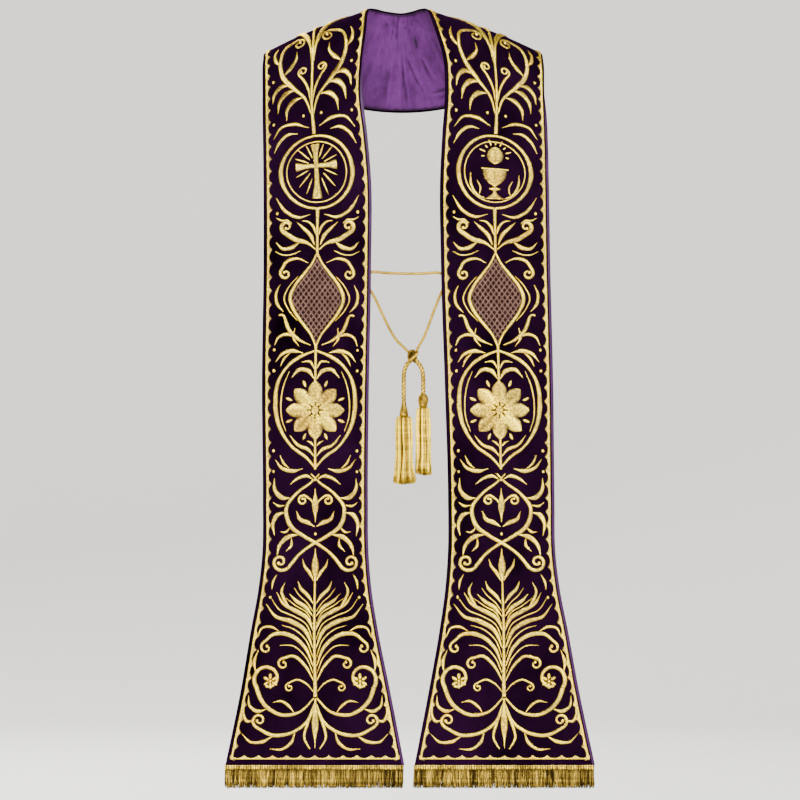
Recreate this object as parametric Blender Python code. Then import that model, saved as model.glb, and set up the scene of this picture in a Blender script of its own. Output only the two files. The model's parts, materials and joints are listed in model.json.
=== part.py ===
# A clerical stole as it hangs when worn: velvet face, satin lining, fringed hems and a tie cord with tassels.
# Metres, +Z up. The front faces -Y, and left and right are those seen from the front, so left is -X.
# The origin is the middle of the neck opening, level with the shoulder line beside the neck.
import math

import bmesh
import bpy
import numpy as np
from mathutils import Matrix, Vector

MM = 0.001

# Cloth, in millimetres
FACE_WALL = 1.8
LINING_WALL = 1.0
SEAM_GAP = 0.3
LINING_INSET = 2.5
LINING_ROLL = 2.0
PANEL_COLUMNS = 7

# One row for each section across the right half, from the centre-back seam over the shoulder to the hem.
# slices: steps to the next row. in_ is the neck edge and out_ the shoulder edge. half is the distance from
# the middle, y and z the place, and sway moves both halves to the right. bow is the rise of the section's
# middle, and roll is how far the lining has rolled past the velvet on the right-hand edge.
SECTION_COLUMNS = (
    "slices", "in_half", "in_y", "in_z", "in_sway", "out_half", "out_y", "out_z", "out_sway", "bow", "roll",
)
SECTIONS = {
    "centre back": (3, 0.0, 68.0, 10.4, -3.0, 0.0, 112.0, -130.4, -1.0, 1.0, 0.0),
    "back of neck": (3, 20.0, 58.0, 12.5, -6.0, 72.0, 104.0, -122.5, -1.0, 2.5, 0.0),
    "back shoulder": (4, 32.5, 36.0, 14.0, -7.5, 130.0, 78.0, -99.0, 0.0, 5.0, 0.0),
    "shoulder crest": (4, 43.5, 0.0, 4.5, -6.5, 195.0, 8.0, -52.0, 0.0, 6.0, 0.0),
    "front shoulder": (4, 48.5, -32.0, -21.0, -3.5, 199.0, -20.0, -66.0, 0.3, 6.0, 0.0),
    "collarbone": (3, 57.0, -62.0, -67.0, 0.0, 199.2, -48.0, -106.0, 0.8, 4.0, 0.4),
    "upper chest": (3, 58.7, -78.0, -114.0, 0.0, 199.2, -66.0, -145.0, 1.5, 4.0, 1.0),
    "chest": (2, 53.1, -88.0, -175.0, 1.5, 199.3, -80.0, -195.0, 2.8, 4.0, 1.0),
    "below chest": (3, 49.2, -92.0, -231.0, 2.5, 199.2, -88.0, -240.0, 3.5, 4.0, 1.0),
    "ribs": (3, 49.4, -94.0, -350.0, 3.2, 199.8, -94.0, -350.0, 4.5, 4.0, 1.0),
    "waist": (2, 53.9, -94.0, -532.0, 4.5, 203.1, -94.0, -532.0, 5.5, 4.0, 1.0),
    "hip": (3, 56.7, -94.0, -686.0, 6.0, 203.3, -94.0, -686.0, 7.0, 4.0, 1.0),
    "flare start": (3, 56.0, -94.0, -763.0, 6.3, 204.5, -94.0, -763.0, 7.3, 4.0, 1.0),
    "upper flare": (3, 52.1, -94.5, -812.0, 6.5, 210.3, -94.5, -812.0, 7.6, 4.0, 1.0),
    "middle flare": (2, 43.8, -95.0, -868.0, 7.0, 220.9, -95.0, -868.0, 8.0, 4.0, 1.0),
    "lower flare": (2, 28.0, -96.0, -952.0, 8.0, 235.6, -96.0, -952.0, 8.6, 3.0, 1.0),
    "hem": (0, 7.8, -97.0, -1057.0, 8.0, 257.6, -97.0, -1057.0, 9.0, 2.0, 1.0),
}

# Fringe, in millimetres
FRINGE_HEADING_HEIGHT = 7.5
FRINGE_HEADING_WALL = 2.4
FRINGE_SKIRT_HEIGHT = 24.0
FRINGE_SKIRT_WALL = 2.0
FRINGE_OVERHANG = 1.0

# Tie cord, in millimetres
CORD_DIAMETER = 4.2
TASSEL_CORD_DIAMETER = 6.0
POINT_SPACING = 2.0
CORD_LOOP_CLEARANCE = 2.0
CORD_LOOP_WALL = 1.2
CORD_LOOP_HEIGHT = 4.0

# The tie cord's route from the knot up to the left loop, across, and down from the right loop: x, y, z.
TIE_ROUTE = (
    (7.5, -87.0, -478.3), (0.0, -87.1, -471.2), (-8.4, -87.3, -463.0), (-18.5, -87.5, -447.0),
    (-27.6, -87.7, -428.4), (-37.6, -87.9, -406.8), (-47.6, -88.0, -388.6), (-52.8, -88.0, -379.6),
    (-54.0, -88.0, -375.5), (-52.8, -88.0, -371.2), (-49.7, -88.0, -368.1), (-45.5, -88.0, -367.0),
    (-24.0, -88.0, -367.9), (2.0, -88.0, -368.9), (28.0, -88.0, -368.8), (51.7, -88.0, -368.2),
    (56.4, -88.0, -369.6), (59.3, -88.0, -373.0), (60.2, -88.0, -376.7), (59.6, -88.0, -380.0),
    (52.6, -88.0, -397.6), (44.8, -87.9, -417.2), (37.4, -87.6, -437.2), (29.4, -87.3, -457.6),
    (18.9, -87.0, -476.5),
)
TASSEL_CORD_ROUTES = {
    "left": (
        (8.9, -87.0, -492.1), (4.6, -87.0, -497.9), (1.9, -87.0, -505.0), (1.1, -87.0, -515.0),
        (1.0, -87.0, -530.0), (1.2, -87.0, -549.9),
    ),
    "right": (
        (19.3, -87.0, -491.9), (24.0, -87.0, -498.0), (27.0, -87.0, -505.0), (28.2, -87.0, -514.0),
        (28.4, -87.0, -525.0), (28.3, -87.0, -537.3),
    ),
}

# Knot: centre and half sizes
KNOT_CENTRE = (14.0, -87.0, -484.4)
KNOT_HALF_SIZE = (8.0, 6.5, 9.5)

# Tassels: axis place, top of the head, and the greatest radius of the skirt
TASSEL_COLUMNS = ("x", "y", "top", "skirt_radius", "skirt_height")
TASSELS = {
    "left": (1.2, -87.0, -550.2, 14.2, 97.0),
    "right": (28.3, -87.0, -537.6, 10.8, 97.0),
}
TASSEL_HEAD_PROFILE = ((3.4, 0.0), (5.2, -2.0), (6.0, -6.0), (5.4, -10.0), (4.4, -12.0), (4.9, -15.0))
TASSEL_SKIRT_STEPS = ((0.33, 0.0), (0.58, 0.05), (0.80, 0.14), (0.92, 0.35), (0.98, 0.7), (1.0, 0.97), (0.9, 1.0))
ROUND_SEGMENTS = 20

# Colour, roughness and metallic value of each material
FINISHES = {
    "velvet": ((0.016, 0.006, 0.028), 0.9, 0.0),
    "satin": ((0.20, 0.065, 0.27), 0.45, 0.0),
    "gold_thread": ((0.62, 0.43, 0.10), 0.45, 0.3),
    "gold_cord": ((0.70, 0.50, 0.16), 0.5, 0.2),
}
SIDES = {"left": -1.0, "right": 1.0}


# The material of a finish, made once.
def material(name):
    found = bpy.data.materials.get(name)
    if found:
        return found
    colour, roughness, metallic = FINISHES[name]
    made = bpy.data.materials.new(name)
    made.use_nodes = True
    shader = made.node_tree.nodes["Principled BSDF"]
    shader.inputs["Base Color"].default_value = (*colour, 1.0)
    shader.inputs["Roughness"].default_value = roughness
    shader.inputs["Metallic"].default_value = metallic
    made.diffuse_color = (*colour, 1.0)
    return made


# A named object from points in millimetres, with its faces turned outwards.
def solid(name, points, faces, finish, parent):
    mesh = bpy.data.meshes.new(name)
    mesh.from_pydata([tuple(p) for p in np.asarray(points) * MM], [], faces)
    shape = bmesh.new()
    shape.from_mesh(mesh)
    bmesh.ops.recalc_face_normals(shape, faces=shape.faces)
    shape.to_mesh(mesh)
    shape.free()
    mesh.shade_smooth()
    mesh.set_sharp_from_angle(angle=math.radians(40))
    mesh.materials.append(material(finish))
    made = bpy.data.objects.new(name, mesh)
    bpy.context.collection.objects.link(made)
    made.parent = parent
    return made


# A smooth curve through rows of values: cubic pieces whose slopes come from the rows on each side.
def smooth(rows, places, samples):
    slopes = np.gradient(rows, places, axis=0)
    index = np.clip(np.searchsorted(places, samples, side="right") - 1, 0, len(places) - 2)
    step = (places[index + 1] - places[index])[:, None]
    t = (samples - places[index])[:, None] / step
    start, end = rows[index], rows[index + 1]
    bend_in, bend_out = slopes[index] * step, slopes[index + 1] * step
    return (
        (2 * t**3 - 3 * t**2 + 1) * start + (t**3 - 2 * t**2 + t) * bend_in
        + (3 * t**2 - 2 * t**3) * end + (t**3 - t**2) * bend_out
    )


# Every slice of one half, as arrays named by the table's columns. The rows are mirrored at the centre back
# first, so that the two halves meet there in one smooth sweep.
def slices(side):
    table = np.array(list(SECTIONS.values()), dtype=float)
    columns = {name: table[:, i] for i, name in enumerate(SECTION_COLUMNS)}
    mirrored = table[1:][::-1].copy()
    for name in ("in_half", "out_half"):
        mirrored[:, SECTION_COLUMNS.index(name)] *= -1
    rows = np.vstack([mirrored, table])
    middles = np.column_stack([(columns["in_" + c] + columns["out_" + c]) / 2 for c in ("half", "y", "z")])
    steps = np.linalg.norm(np.diff(middles, axis=0), axis=1)
    places = np.concatenate([[0.0], np.cumsum(steps)])
    samples = [np.linspace(places[i], places[i + 1], int(n), endpoint=False)
               for i, n in enumerate(columns["slices"][:-1])]
    samples = np.concatenate(samples + [places[-1:]])
    values = smooth(rows, np.concatenate([-places[:0:-1], places]), samples)
    named = {name: values[:, i] for i, name in enumerate(SECTION_COLUMNS)}
    half_gap = SEAM_GAP / 2
    for edge in ("in_", "out_"):
        x = side * (named[edge + "half"] + half_gap) + named[edge + "sway"]
        named[edge + "edge"] = np.column_stack([x, named[edge + "y"], named[edge + "z"]])
    return named


# Points of one half's velvet surface and the directions out of it. margins: what is cut from the neck edge
# and the shoulder edge of each slice.
def surface(side, margin_in=0.0, margin_out=0.0):
    half = slices(side)
    inner, outer = half["in_edge"], half["out_edge"]
    across = outer - inner
    width = np.linalg.norm(across, axis=1, keepdims=True)
    along = np.gradient((inner + outer) / 2, axis=0)
    along[0] = (side, 0.0, 0.0)
    rise = np.cross(along, across) * side
    rise /= np.linalg.norm(rise, axis=1, keepdims=True)
    low = (np.zeros(len(width)) + margin_in)[:, None] / width
    high = 1 - (np.zeros(len(width)) + margin_out)[:, None] / width
    u = low + (high - low) * np.linspace(0, 1, PANEL_COLUMNS)[None, :]
    bow = half["bow"][:, None] * 4 * u * (1 - u)
    points = inner[:, None] + across[:, None] * u[..., None] + rise[:, None] * bow[..., None]
    down = np.gradient(points, axis=0)
    down[0] = (side, 0.0, 0.0)
    normals = np.cross(down, np.gradient(points, axis=1)) * side
    normals /= np.linalg.norm(normals, axis=2, keepdims=True)
    return points, normals


# A closed wall between two grids of points of the same shape. Both grids are split along the same diagonals,
# so that walls laid on each other stay parallel.
def wall(name, front, back, finish, parent):
    rows, columns = front.shape[:2]
    index = np.arange(rows * columns).reshape(rows, columns)
    a, b, c, d = index[:-1, :-1].ravel(), index[1:, :-1].ravel(), index[1:, 1:].ravel(), index[:-1, 1:].ravel()
    sheet = np.vstack([np.column_stack([a, b, c]), np.column_stack([a, c, d])])
    rim = np.concatenate([index[0, :-1], index[:-1, -1], index[-1, :0:-1], index[:0:-1, 0]])
    following = np.roll(rim, -1)
    behind = rows * columns
    edge = np.vstack([
        np.column_stack([rim, following, following + behind]),
        np.column_stack([rim, following + behind, rim + behind]),
    ])
    faces = np.vstack([sheet, sheet[:, ::-1] + behind, edge]).tolist()
    points = np.vstack([front.reshape(-1, 3), back.reshape(-1, 3)])
    return solid(name, points, faces, finish, parent)


# The velvet face: the surface and a wall behind it.
def face(label, side, parent):
    points, normals = surface(side)
    wall("face_" + label, points, points - normals * FACE_WALL, "velvet", parent)


# The lining behind the face. It stops short of the velvet's edges, but on the right-hand edge of the front it
# has rolled a little past it.
def lining(label, side, parent):
    roll = slices(side)["roll"]
    rolled = LINING_INSET - (LINING_INSET + LINING_ROLL) * roll
    margins = (LINING_INSET, rolled) if side > 0 else (rolled, LINING_INSET)
    points, normals = surface(side, *margins)
    front = points - normals * (FACE_WALL + SEAM_GAP)
    wall("lining_" + label, front, front - normals * LINING_WALL, "satin", parent)


# One band of the fringe under the hem, from one depth to another, in the middle of the cloth's thickness.
def fringe_band(name, side, top, bottom, thickness, parent):
    points, normals = surface(side, -FRINGE_OVERHANG, -FRINGE_OVERHANG)
    hem, out = points[-1], normals[-1]
    down = points[-1] - points[-2]
    down = np.array([0.0, down[:, 1].mean(), down[:, 2].mean()])
    down /= np.linalg.norm(down)
    middle = hem - out * (FACE_WALL + SEAM_GAP + LINING_WALL) / 2
    levels = np.array([top, bottom])[:, None, None] * down
    front = middle + out * thickness / 2 + levels
    back = middle - out * thickness / 2 + levels
    wall(name, front, back, "gold_thread", parent)


# The fringe of one hem: its woven heading and the skirt of threads below.
def fringe(label, side, parent):
    heading_end = SEAM_GAP + FRINGE_HEADING_HEIGHT
    skirt_start = heading_end + SEAM_GAP
    fringe_band("fringe_heading_" + label, side, SEAM_GAP, heading_end, FRINGE_HEADING_WALL, parent)
    skirt_end = skirt_start + FRINGE_SKIRT_HEIGHT
    fringe_band("fringe_skirt_" + label, side, skirt_start, skirt_end, FRINGE_SKIRT_WALL, parent)


# Evenly spaced points on a smooth curve through a route's points, a few diameters apart.
def even_points(route, diameter):
    route = np.array(route)
    places = np.concatenate([[0.0], np.cumsum(np.linalg.norm(np.diff(route, axis=0), axis=1))])
    fine = smooth(route, places, np.linspace(0, places[-1], 40 * len(route)))
    run = np.concatenate([[0.0], np.cumsum(np.linalg.norm(np.diff(fine, axis=0), axis=1))])
    count = max(6, round(run[-1] / (POINT_SPACING * diameter)) + 1)
    even = np.linspace(0, run[-1], count)
    return np.column_stack([np.interp(even, run, fine[:, i]) for i in range(3)])


# A cord as a round tube with closed ends.
def cord(name, route, diameter, parent):
    points = even_points(route, diameter) * MM
    curve = bpy.data.curves.new(name, "CURVE")
    curve.dimensions = "3D"
    curve.bevel_depth = diameter / 2 * MM
    curve.bevel_resolution = 2
    curve.use_fill_caps = True
    line = curve.splines.new("POLY")
    line.points.add(len(points) - 1)
    line.points.foreach_set("co", np.column_stack([points, np.ones(len(points))]).ravel())
    curve.materials.append(material("gold_cord"))
    made = bpy.data.objects.new(name, curve)
    bpy.context.collection.objects.link(made)
    made.parent = parent


# A small loop sewn on the lining: a band bent round the cord, with its two feet on the cloth.
def cord_loop(label, side, parent):
    route = even_points(TIE_ROUTE, CORD_DIAMETER)
    x, y, z = route[np.argmax(route[:, 0] * side)]
    points, normals = surface(side)
    cloth = points - normals * (FACE_WALL + SEAM_GAP + LINING_WALL)
    row = cloth[np.argmin(np.abs(cloth[:, 0, 2] - z))]
    row = row[np.argsort(row[:, 0])]
    inside = CORD_DIAMETER / 2 + CORD_LOOP_CLEARANCE
    outside = inside + CORD_LOOP_WALL
    turn = np.linspace(0, math.pi, 9)
    arc = np.column_stack([np.cos(turn), np.sin(turn)])
    feet = {reach: np.interp(x + reach, row[:, 0], row[:, 1]) + SEAM_GAP
            for reach in (outside, -outside, -inside, inside)}
    outline = [(x + outside, feet[outside])]
    outline += [(x + p[0], y + p[1]) for p in arc * outside]
    outline += [(x - outside, feet[-outside]), (x - inside, feet[-inside])]
    outline += [(x + p[0], y + p[1]) for p in arc[::-1] * inside]
    outline += [(x + inside, feet[inside])]
    count = len(outline)
    low, high = z - CORD_LOOP_HEIGHT / 2, z + CORD_LOOP_HEIGHT / 2
    points = [(*p, low) for p in outline] + [(*p, high) for p in outline]
    sides = [(i, (i + 1) % count, (i + 1) % count + count, i + count) for i in range(count)]
    caps = [tuple(range(count)), tuple(range(2 * count - 1, count - 1, -1))]
    solid("cord_loop_" + label, points, sides + caps, "satin", parent)


# The knot: a rounded lump, a little taller than wide.
def knot(parent):
    shape = bmesh.new()
    size = Matrix.Diagonal(Vector(KNOT_HALF_SIZE))
    bmesh.ops.create_icosphere(shape, subdivisions=3, radius=1.0)
    points = np.array([size @ v.co + Vector(KNOT_CENTRE) for v in shape.verts])
    faces = [tuple(v.index for v in f.verts) for f in shape.faces]
    shape.free()
    solid("tie_knot", points, faces, "gold_cord", parent)


# A solid turned round an upright axis from a profile of radii and heights.
def turned(name, x, y, profile, finish, parent):
    profile = np.array(profile)
    turn = np.arange(ROUND_SEGMENTS) * 2 * math.pi / ROUND_SEGMENTS
    ring = np.column_stack([np.cos(turn), np.sin(turn)])
    rings = [np.column_stack([ring * radius + (x, y), np.full(ROUND_SEGMENTS, z)]) for radius, z in profile]
    last = (len(profile) - 1) * ROUND_SEGMENTS
    faces = [tuple(range(ROUND_SEGMENTS)), tuple(range(last, last + ROUND_SEGMENTS))]
    for level in range(len(profile) - 1):
        for i in range(ROUND_SEGMENTS):
            a, b = level * ROUND_SEGMENTS + i, level * ROUND_SEGMENTS + (i + 1) % ROUND_SEGMENTS
            faces.append((a, b, b + ROUND_SEGMENTS, a + ROUND_SEGMENTS))
    solid(name, np.vstack(rings), faces, finish, parent)


# One tassel: its bound head and the skirt of threads below it.
def tassel(label, parent):
    sizes = dict(zip(TASSEL_COLUMNS, TASSELS[label]))
    head = [(radius, sizes["top"] + z) for radius, z in TASSEL_HEAD_PROFILE]
    start = head[-1][1] - SEAM_GAP
    skirt = [(radius * sizes["skirt_radius"], start - z * sizes["skirt_height"]) for radius, z in TASSEL_SKIRT_STEPS]
    turned("tassel_head_" + label, sizes["x"], sizes["y"], head, "gold_cord", parent)
    turned("tassel_skirt_" + label, sizes["x"], sizes["y"], skirt, "gold_cord", parent)


# The whole stole, under one empty at the neck.
def build():
    for old in list(bpy.data.objects):
        bpy.data.objects.remove(old, do_unlink=True)
    neck = bpy.data.objects.new("neck", None)
    bpy.context.collection.objects.link(neck)
    for label, side in SIDES.items():
        face(label, side, neck)
        lining(label, side, neck)
        fringe(label, side, neck)
        cord_loop(label, side, neck)
        cord("tassel_cord_" + label, TASSEL_CORD_ROUTES[label], TASSEL_CORD_DIAMETER, neck)
        tassel(label, neck)
    cord("tie_cord", TIE_ROUTE, CORD_DIAMETER, neck)
    knot(neck)


build()
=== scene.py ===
import json
import math

import bpy
import numpy as np
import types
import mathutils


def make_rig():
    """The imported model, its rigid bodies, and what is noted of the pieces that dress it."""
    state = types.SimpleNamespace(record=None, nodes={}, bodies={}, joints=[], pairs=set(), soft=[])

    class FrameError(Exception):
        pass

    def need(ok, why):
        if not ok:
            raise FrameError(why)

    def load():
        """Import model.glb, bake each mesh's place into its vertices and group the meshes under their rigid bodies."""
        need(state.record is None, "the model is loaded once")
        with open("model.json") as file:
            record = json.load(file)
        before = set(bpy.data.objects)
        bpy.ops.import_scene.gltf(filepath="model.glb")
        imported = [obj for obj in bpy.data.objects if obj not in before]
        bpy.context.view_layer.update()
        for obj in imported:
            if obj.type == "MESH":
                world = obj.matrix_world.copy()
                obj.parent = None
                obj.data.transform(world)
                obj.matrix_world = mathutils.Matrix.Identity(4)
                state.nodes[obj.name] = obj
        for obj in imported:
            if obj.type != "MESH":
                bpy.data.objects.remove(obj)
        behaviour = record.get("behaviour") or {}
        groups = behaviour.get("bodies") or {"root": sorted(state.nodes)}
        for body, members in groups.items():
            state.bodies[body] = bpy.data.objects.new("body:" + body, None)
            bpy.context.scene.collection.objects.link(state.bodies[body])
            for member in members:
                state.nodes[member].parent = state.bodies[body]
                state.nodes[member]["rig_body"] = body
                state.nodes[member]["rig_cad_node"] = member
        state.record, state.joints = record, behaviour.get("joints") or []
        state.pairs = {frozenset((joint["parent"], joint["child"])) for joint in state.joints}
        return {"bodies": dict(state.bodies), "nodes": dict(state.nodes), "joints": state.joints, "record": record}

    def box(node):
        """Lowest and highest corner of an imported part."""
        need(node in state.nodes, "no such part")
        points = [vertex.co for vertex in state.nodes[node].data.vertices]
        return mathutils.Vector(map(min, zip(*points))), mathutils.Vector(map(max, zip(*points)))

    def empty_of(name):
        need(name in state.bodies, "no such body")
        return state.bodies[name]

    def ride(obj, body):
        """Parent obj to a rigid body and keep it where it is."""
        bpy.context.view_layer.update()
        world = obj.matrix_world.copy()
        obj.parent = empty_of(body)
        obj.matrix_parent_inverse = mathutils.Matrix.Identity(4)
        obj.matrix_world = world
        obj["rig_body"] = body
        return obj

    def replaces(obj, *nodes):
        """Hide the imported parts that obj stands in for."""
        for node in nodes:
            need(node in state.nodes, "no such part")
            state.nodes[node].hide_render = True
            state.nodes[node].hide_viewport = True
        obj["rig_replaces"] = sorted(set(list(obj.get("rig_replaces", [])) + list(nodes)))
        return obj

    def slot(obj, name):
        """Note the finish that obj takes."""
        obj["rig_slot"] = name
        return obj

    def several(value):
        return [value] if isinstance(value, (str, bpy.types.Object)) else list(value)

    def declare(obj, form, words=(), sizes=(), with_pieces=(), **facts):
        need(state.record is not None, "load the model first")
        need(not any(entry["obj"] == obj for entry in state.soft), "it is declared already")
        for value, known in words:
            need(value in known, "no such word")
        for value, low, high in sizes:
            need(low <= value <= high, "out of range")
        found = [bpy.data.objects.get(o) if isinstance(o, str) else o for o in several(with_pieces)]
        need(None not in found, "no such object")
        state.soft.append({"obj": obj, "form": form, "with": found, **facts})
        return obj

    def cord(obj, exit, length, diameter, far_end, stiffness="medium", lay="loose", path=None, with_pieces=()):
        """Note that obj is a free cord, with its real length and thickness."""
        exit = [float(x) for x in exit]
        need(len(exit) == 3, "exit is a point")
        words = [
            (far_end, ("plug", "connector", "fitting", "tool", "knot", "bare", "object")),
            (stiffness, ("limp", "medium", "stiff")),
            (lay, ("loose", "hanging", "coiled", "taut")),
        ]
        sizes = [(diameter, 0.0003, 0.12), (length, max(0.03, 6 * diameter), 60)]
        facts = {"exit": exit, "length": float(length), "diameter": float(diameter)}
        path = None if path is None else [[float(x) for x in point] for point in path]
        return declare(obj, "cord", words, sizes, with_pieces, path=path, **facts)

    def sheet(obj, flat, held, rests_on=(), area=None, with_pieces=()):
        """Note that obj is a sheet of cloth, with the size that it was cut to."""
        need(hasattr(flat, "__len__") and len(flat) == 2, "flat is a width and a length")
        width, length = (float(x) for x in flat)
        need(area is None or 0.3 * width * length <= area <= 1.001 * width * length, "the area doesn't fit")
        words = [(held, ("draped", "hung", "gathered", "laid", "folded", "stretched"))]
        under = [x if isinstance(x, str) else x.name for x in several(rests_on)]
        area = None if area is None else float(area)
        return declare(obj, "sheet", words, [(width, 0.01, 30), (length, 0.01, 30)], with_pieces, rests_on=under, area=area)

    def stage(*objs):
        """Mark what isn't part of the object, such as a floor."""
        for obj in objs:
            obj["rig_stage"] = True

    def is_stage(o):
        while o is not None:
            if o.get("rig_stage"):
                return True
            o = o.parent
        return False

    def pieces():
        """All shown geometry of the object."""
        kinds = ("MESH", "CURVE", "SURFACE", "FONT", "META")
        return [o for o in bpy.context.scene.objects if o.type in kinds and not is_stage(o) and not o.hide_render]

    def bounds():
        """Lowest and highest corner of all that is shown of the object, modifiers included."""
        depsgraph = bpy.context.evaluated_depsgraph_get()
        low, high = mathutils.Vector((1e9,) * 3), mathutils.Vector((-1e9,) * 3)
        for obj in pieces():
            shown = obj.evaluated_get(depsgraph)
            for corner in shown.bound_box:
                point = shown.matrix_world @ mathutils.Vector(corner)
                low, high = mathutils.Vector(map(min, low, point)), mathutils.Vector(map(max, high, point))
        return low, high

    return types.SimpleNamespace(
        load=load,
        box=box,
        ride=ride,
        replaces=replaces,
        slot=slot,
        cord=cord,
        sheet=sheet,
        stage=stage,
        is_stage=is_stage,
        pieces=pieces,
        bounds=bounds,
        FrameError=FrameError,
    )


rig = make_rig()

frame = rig.load()
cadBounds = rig.bounds()
mm = 0.001
sides = {"left": -1.0, "right": 1.0}


# A camera level with the middle of the stole, looking along +Y. Its lens is the sensor's width times the
# distance, over the width seen at the front panels.
camera = {"distance": 6.0, "frontPanels": -0.094, "x": -0.0042, "height": -0.546, "widthSeen": 1.12,
          "sensorWidth": 36.0, "farthest": 60.0}


def placeCamera(use):
    data = bpy.data.cameras.new("camera")
    data.sensor_width = use["sensorWidth"]
    data.lens = use["sensorWidth"] * use["distance"] / use["widthSeen"]
    data.clip_end = use["farthest"]
    made = bpy.data.objects.new("camera", data)
    bpy.context.collection.objects.link(made)
    made.location = (use["x"], use["frontPanels"] - use["distance"], use["height"])
    made.rotation_euler = (math.pi / 2, 0.0, 0.0)
    bpy.context.scene.camera = made


placeCamera(camera)
print("camera placed")


# A smooth mesh object from an array of points and arrays of faces. uv holds one pair for each point, and rise
# one brightness, which carries painted light and shade.
def meshObject(name, points, *faces, uv=None, rise=None):
    data = bpy.data.meshes.new(name)
    points = np.asarray(points).reshape(-1, 3)
    data.from_pydata(points.tolist(), [], [face for part in faces for face in part.tolist()])
    data.polygons.foreach_set("use_smooth", np.ones(len(data.polygons), dtype=bool))
    if uv is not None:
        corner = np.empty(len(data.loops), dtype=np.int32)
        data.loops.foreach_get("vertex_index", corner)
        pairs = np.asarray(uv).reshape(-1, 2)[corner]
        data.uv_layers.new(name="thread").data.foreach_set("uv", pairs.ravel())
    if rise is not None:
        values = np.asarray(rise, float).ravel()
        data.attributes.new("rise", "FLOAT", "POINT").data.foreach_set("value", values)
    data.update()
    made = bpy.data.objects.new(name, data)
    bpy.context.collection.objects.link(made)
    return made


# The numbers of the points on a grid, counted row by row.
def gridNumbers(rows, columns):
    return np.arange(rows * columns).reshape(rows, columns)


# Faces between the rows and columns of point numbers. A closed grid joins its last column to its first.
def gridFaces(numbers, closed=False):
    if closed:
        numbers = np.hstack([numbers, numbers[:, :1]])
    corners = numbers[:-1, :-1], numbers[:-1, 1:], numbers[1:, 1:], numbers[1:, :-1]
    return np.stack(corners, axis=-1).reshape(-1, 4)


# Faces of closed tubes whose points follow one another ring by ring: their walls, and a flat face on each
# end.
def tubeFaces(rings, steps):
    rings, ring = np.array(rings), np.arange(steps)
    starts = np.concatenate([[0], np.cumsum(rings[:-1])]) * steps
    walls = [gridFaces(gridNumbers(count, steps) + start, closed=True) for count, start in zip(rings, starts)]
    ends = ring[::-1] + starts[:, None], ring + (starts + (rings - 1) * steps)[:, None]
    return np.vstack(walls), np.vstack(ends)


# Arrays spread to one shape and joined as the parts of each point.
def together(*parts):
    return np.stack(np.broadcast_arrays(*parts), axis=-1)


# Evenly spaced angles round a full turn, with the last one left out.
def fullTurn(steps):
    return np.linspace(0, 2 * np.pi, steps, endpoint=False)


# Cubic pieces through rows of values, with slopes from the rows on each side.
def smoothRows(rows, places, samples):
    rows, places = np.asarray(rows, float), np.asarray(places, float)
    slopes = np.gradient(rows, places, axis=0)
    index = np.clip(np.searchsorted(places, samples, side="right") - 1, 0, len(places) - 2)
    step = (places[index + 1] - places[index])[:, None]
    t = (samples - places[index])[:, None] / step
    return (
        (2 * t**3 - 3 * t**2 + 1) * rows[index] + (t**3 - 2 * t**2 + t) * slopes[index] * step
        + (3 * t**2 - 2 * t**3) * rows[index + 1] + (t**3 - t**2) * slopes[index + 1] * step
    )


# Distance run along a line of points, from zero.
def runLength(points):
    return np.concatenate([[0.0], np.cumsum(np.linalg.norm(np.diff(points, axis=0), axis=1))])


# Directions scaled to a length of 1.
def unit(vectors):
    return vectors / np.maximum(np.linalg.norm(vectors, axis=-1, keepdims=True), 1e-12)


# So many points along a smooth curve through a route.
def smoothLine(route, count):
    route = np.asarray(route, float)
    places = runLength(route)
    return smoothRows(route, places, np.linspace(0, places[-1], count))


# Evenly spaced points on a smooth curve through a route.
def evenPoints(route, spacing):
    fine = smoothLine(route, 60 * len(route))
    run = runLength(fine)
    even = np.linspace(0, run[-1], max(4, int(round(run[-1] / spacing)) + 1))
    return np.column_stack([np.interp(even, run, part) for part in fine.T])


# Material helpers. newMaterial gives the material, its nodes, its Principled shader and its place in object
# space; addNode sets or links a node's inputs.
socketNames = {
    "roughness": "Roughness", "metallic": "Metallic", "specular": "Specular IOR Level",
    "edgeTint": "Specular Tint", "sheen": "Sheen Weight", "sheenRoughness": "Sheen Roughness",
    "sheenTint": "Sheen Tint",
}


def newMaterial(name, **settings):
    made = bpy.data.materials.new(name)
    made.use_nodes = True
    tree = made.node_tree
    shader = tree.nodes["Principled BSDF"]
    for socket, value in settings.items():
        shader.inputs[socketNames[socket]].default_value = value
    return made, tree, shader, addNode(tree, "ShaderNodeTexCoord").outputs["Object"]


# Joins a colour, and a bumped normal where there is one, to the shader.
def joinShader(tree, shader, tone, normal=None):
    tree.links.new(tone, shader.inputs["Base Color"])
    if normal is not None:
        tree.links.new(normal, shader.inputs["Normal"])


def addNode(tree, kind, inputs=None, **settings):
    node = tree.nodes.new(kind)
    for key, value in settings.items():
        setattr(node, key, value)
    for key, value in (inputs or {}).items():
        if isinstance(value, bpy.types.NodeSocket):
            tree.links.new(value, node.inputs[key])
        else:
            node.inputs[key].default_value = value
    return node


# A colour ramp from pairs of place and colour.
def addRamp(tree, factor, stops):
    ramp = addNode(tree, "ShaderNodeValToRGB", {"Fac": factor})
    for place, color in stops[2:]:
        ramp.color_ramp.elements.new(place)
    for element, (place, color) in zip(ramp.color_ramp.elements, sorted(stops)):
        element.position = place
        element.color = (*color, 1.0)
    return ramp.outputs["Color"]


# Noise on a vector that is stretched first.
def addNoise(tree, vector, scale, detail, roughness, stretch=(1.0, 1.0, 1.0)):
    spread = addNode(tree, "ShaderNodeMapping", {"Vector": vector, "Scale": stretch})
    noise = addNode(tree, "ShaderNodeTexNoise", {
        "Vector": spread.outputs[0], "Scale": scale, "Detail": detail, "Roughness": roughness})
    return noise.outputs["Fac"]


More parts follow.
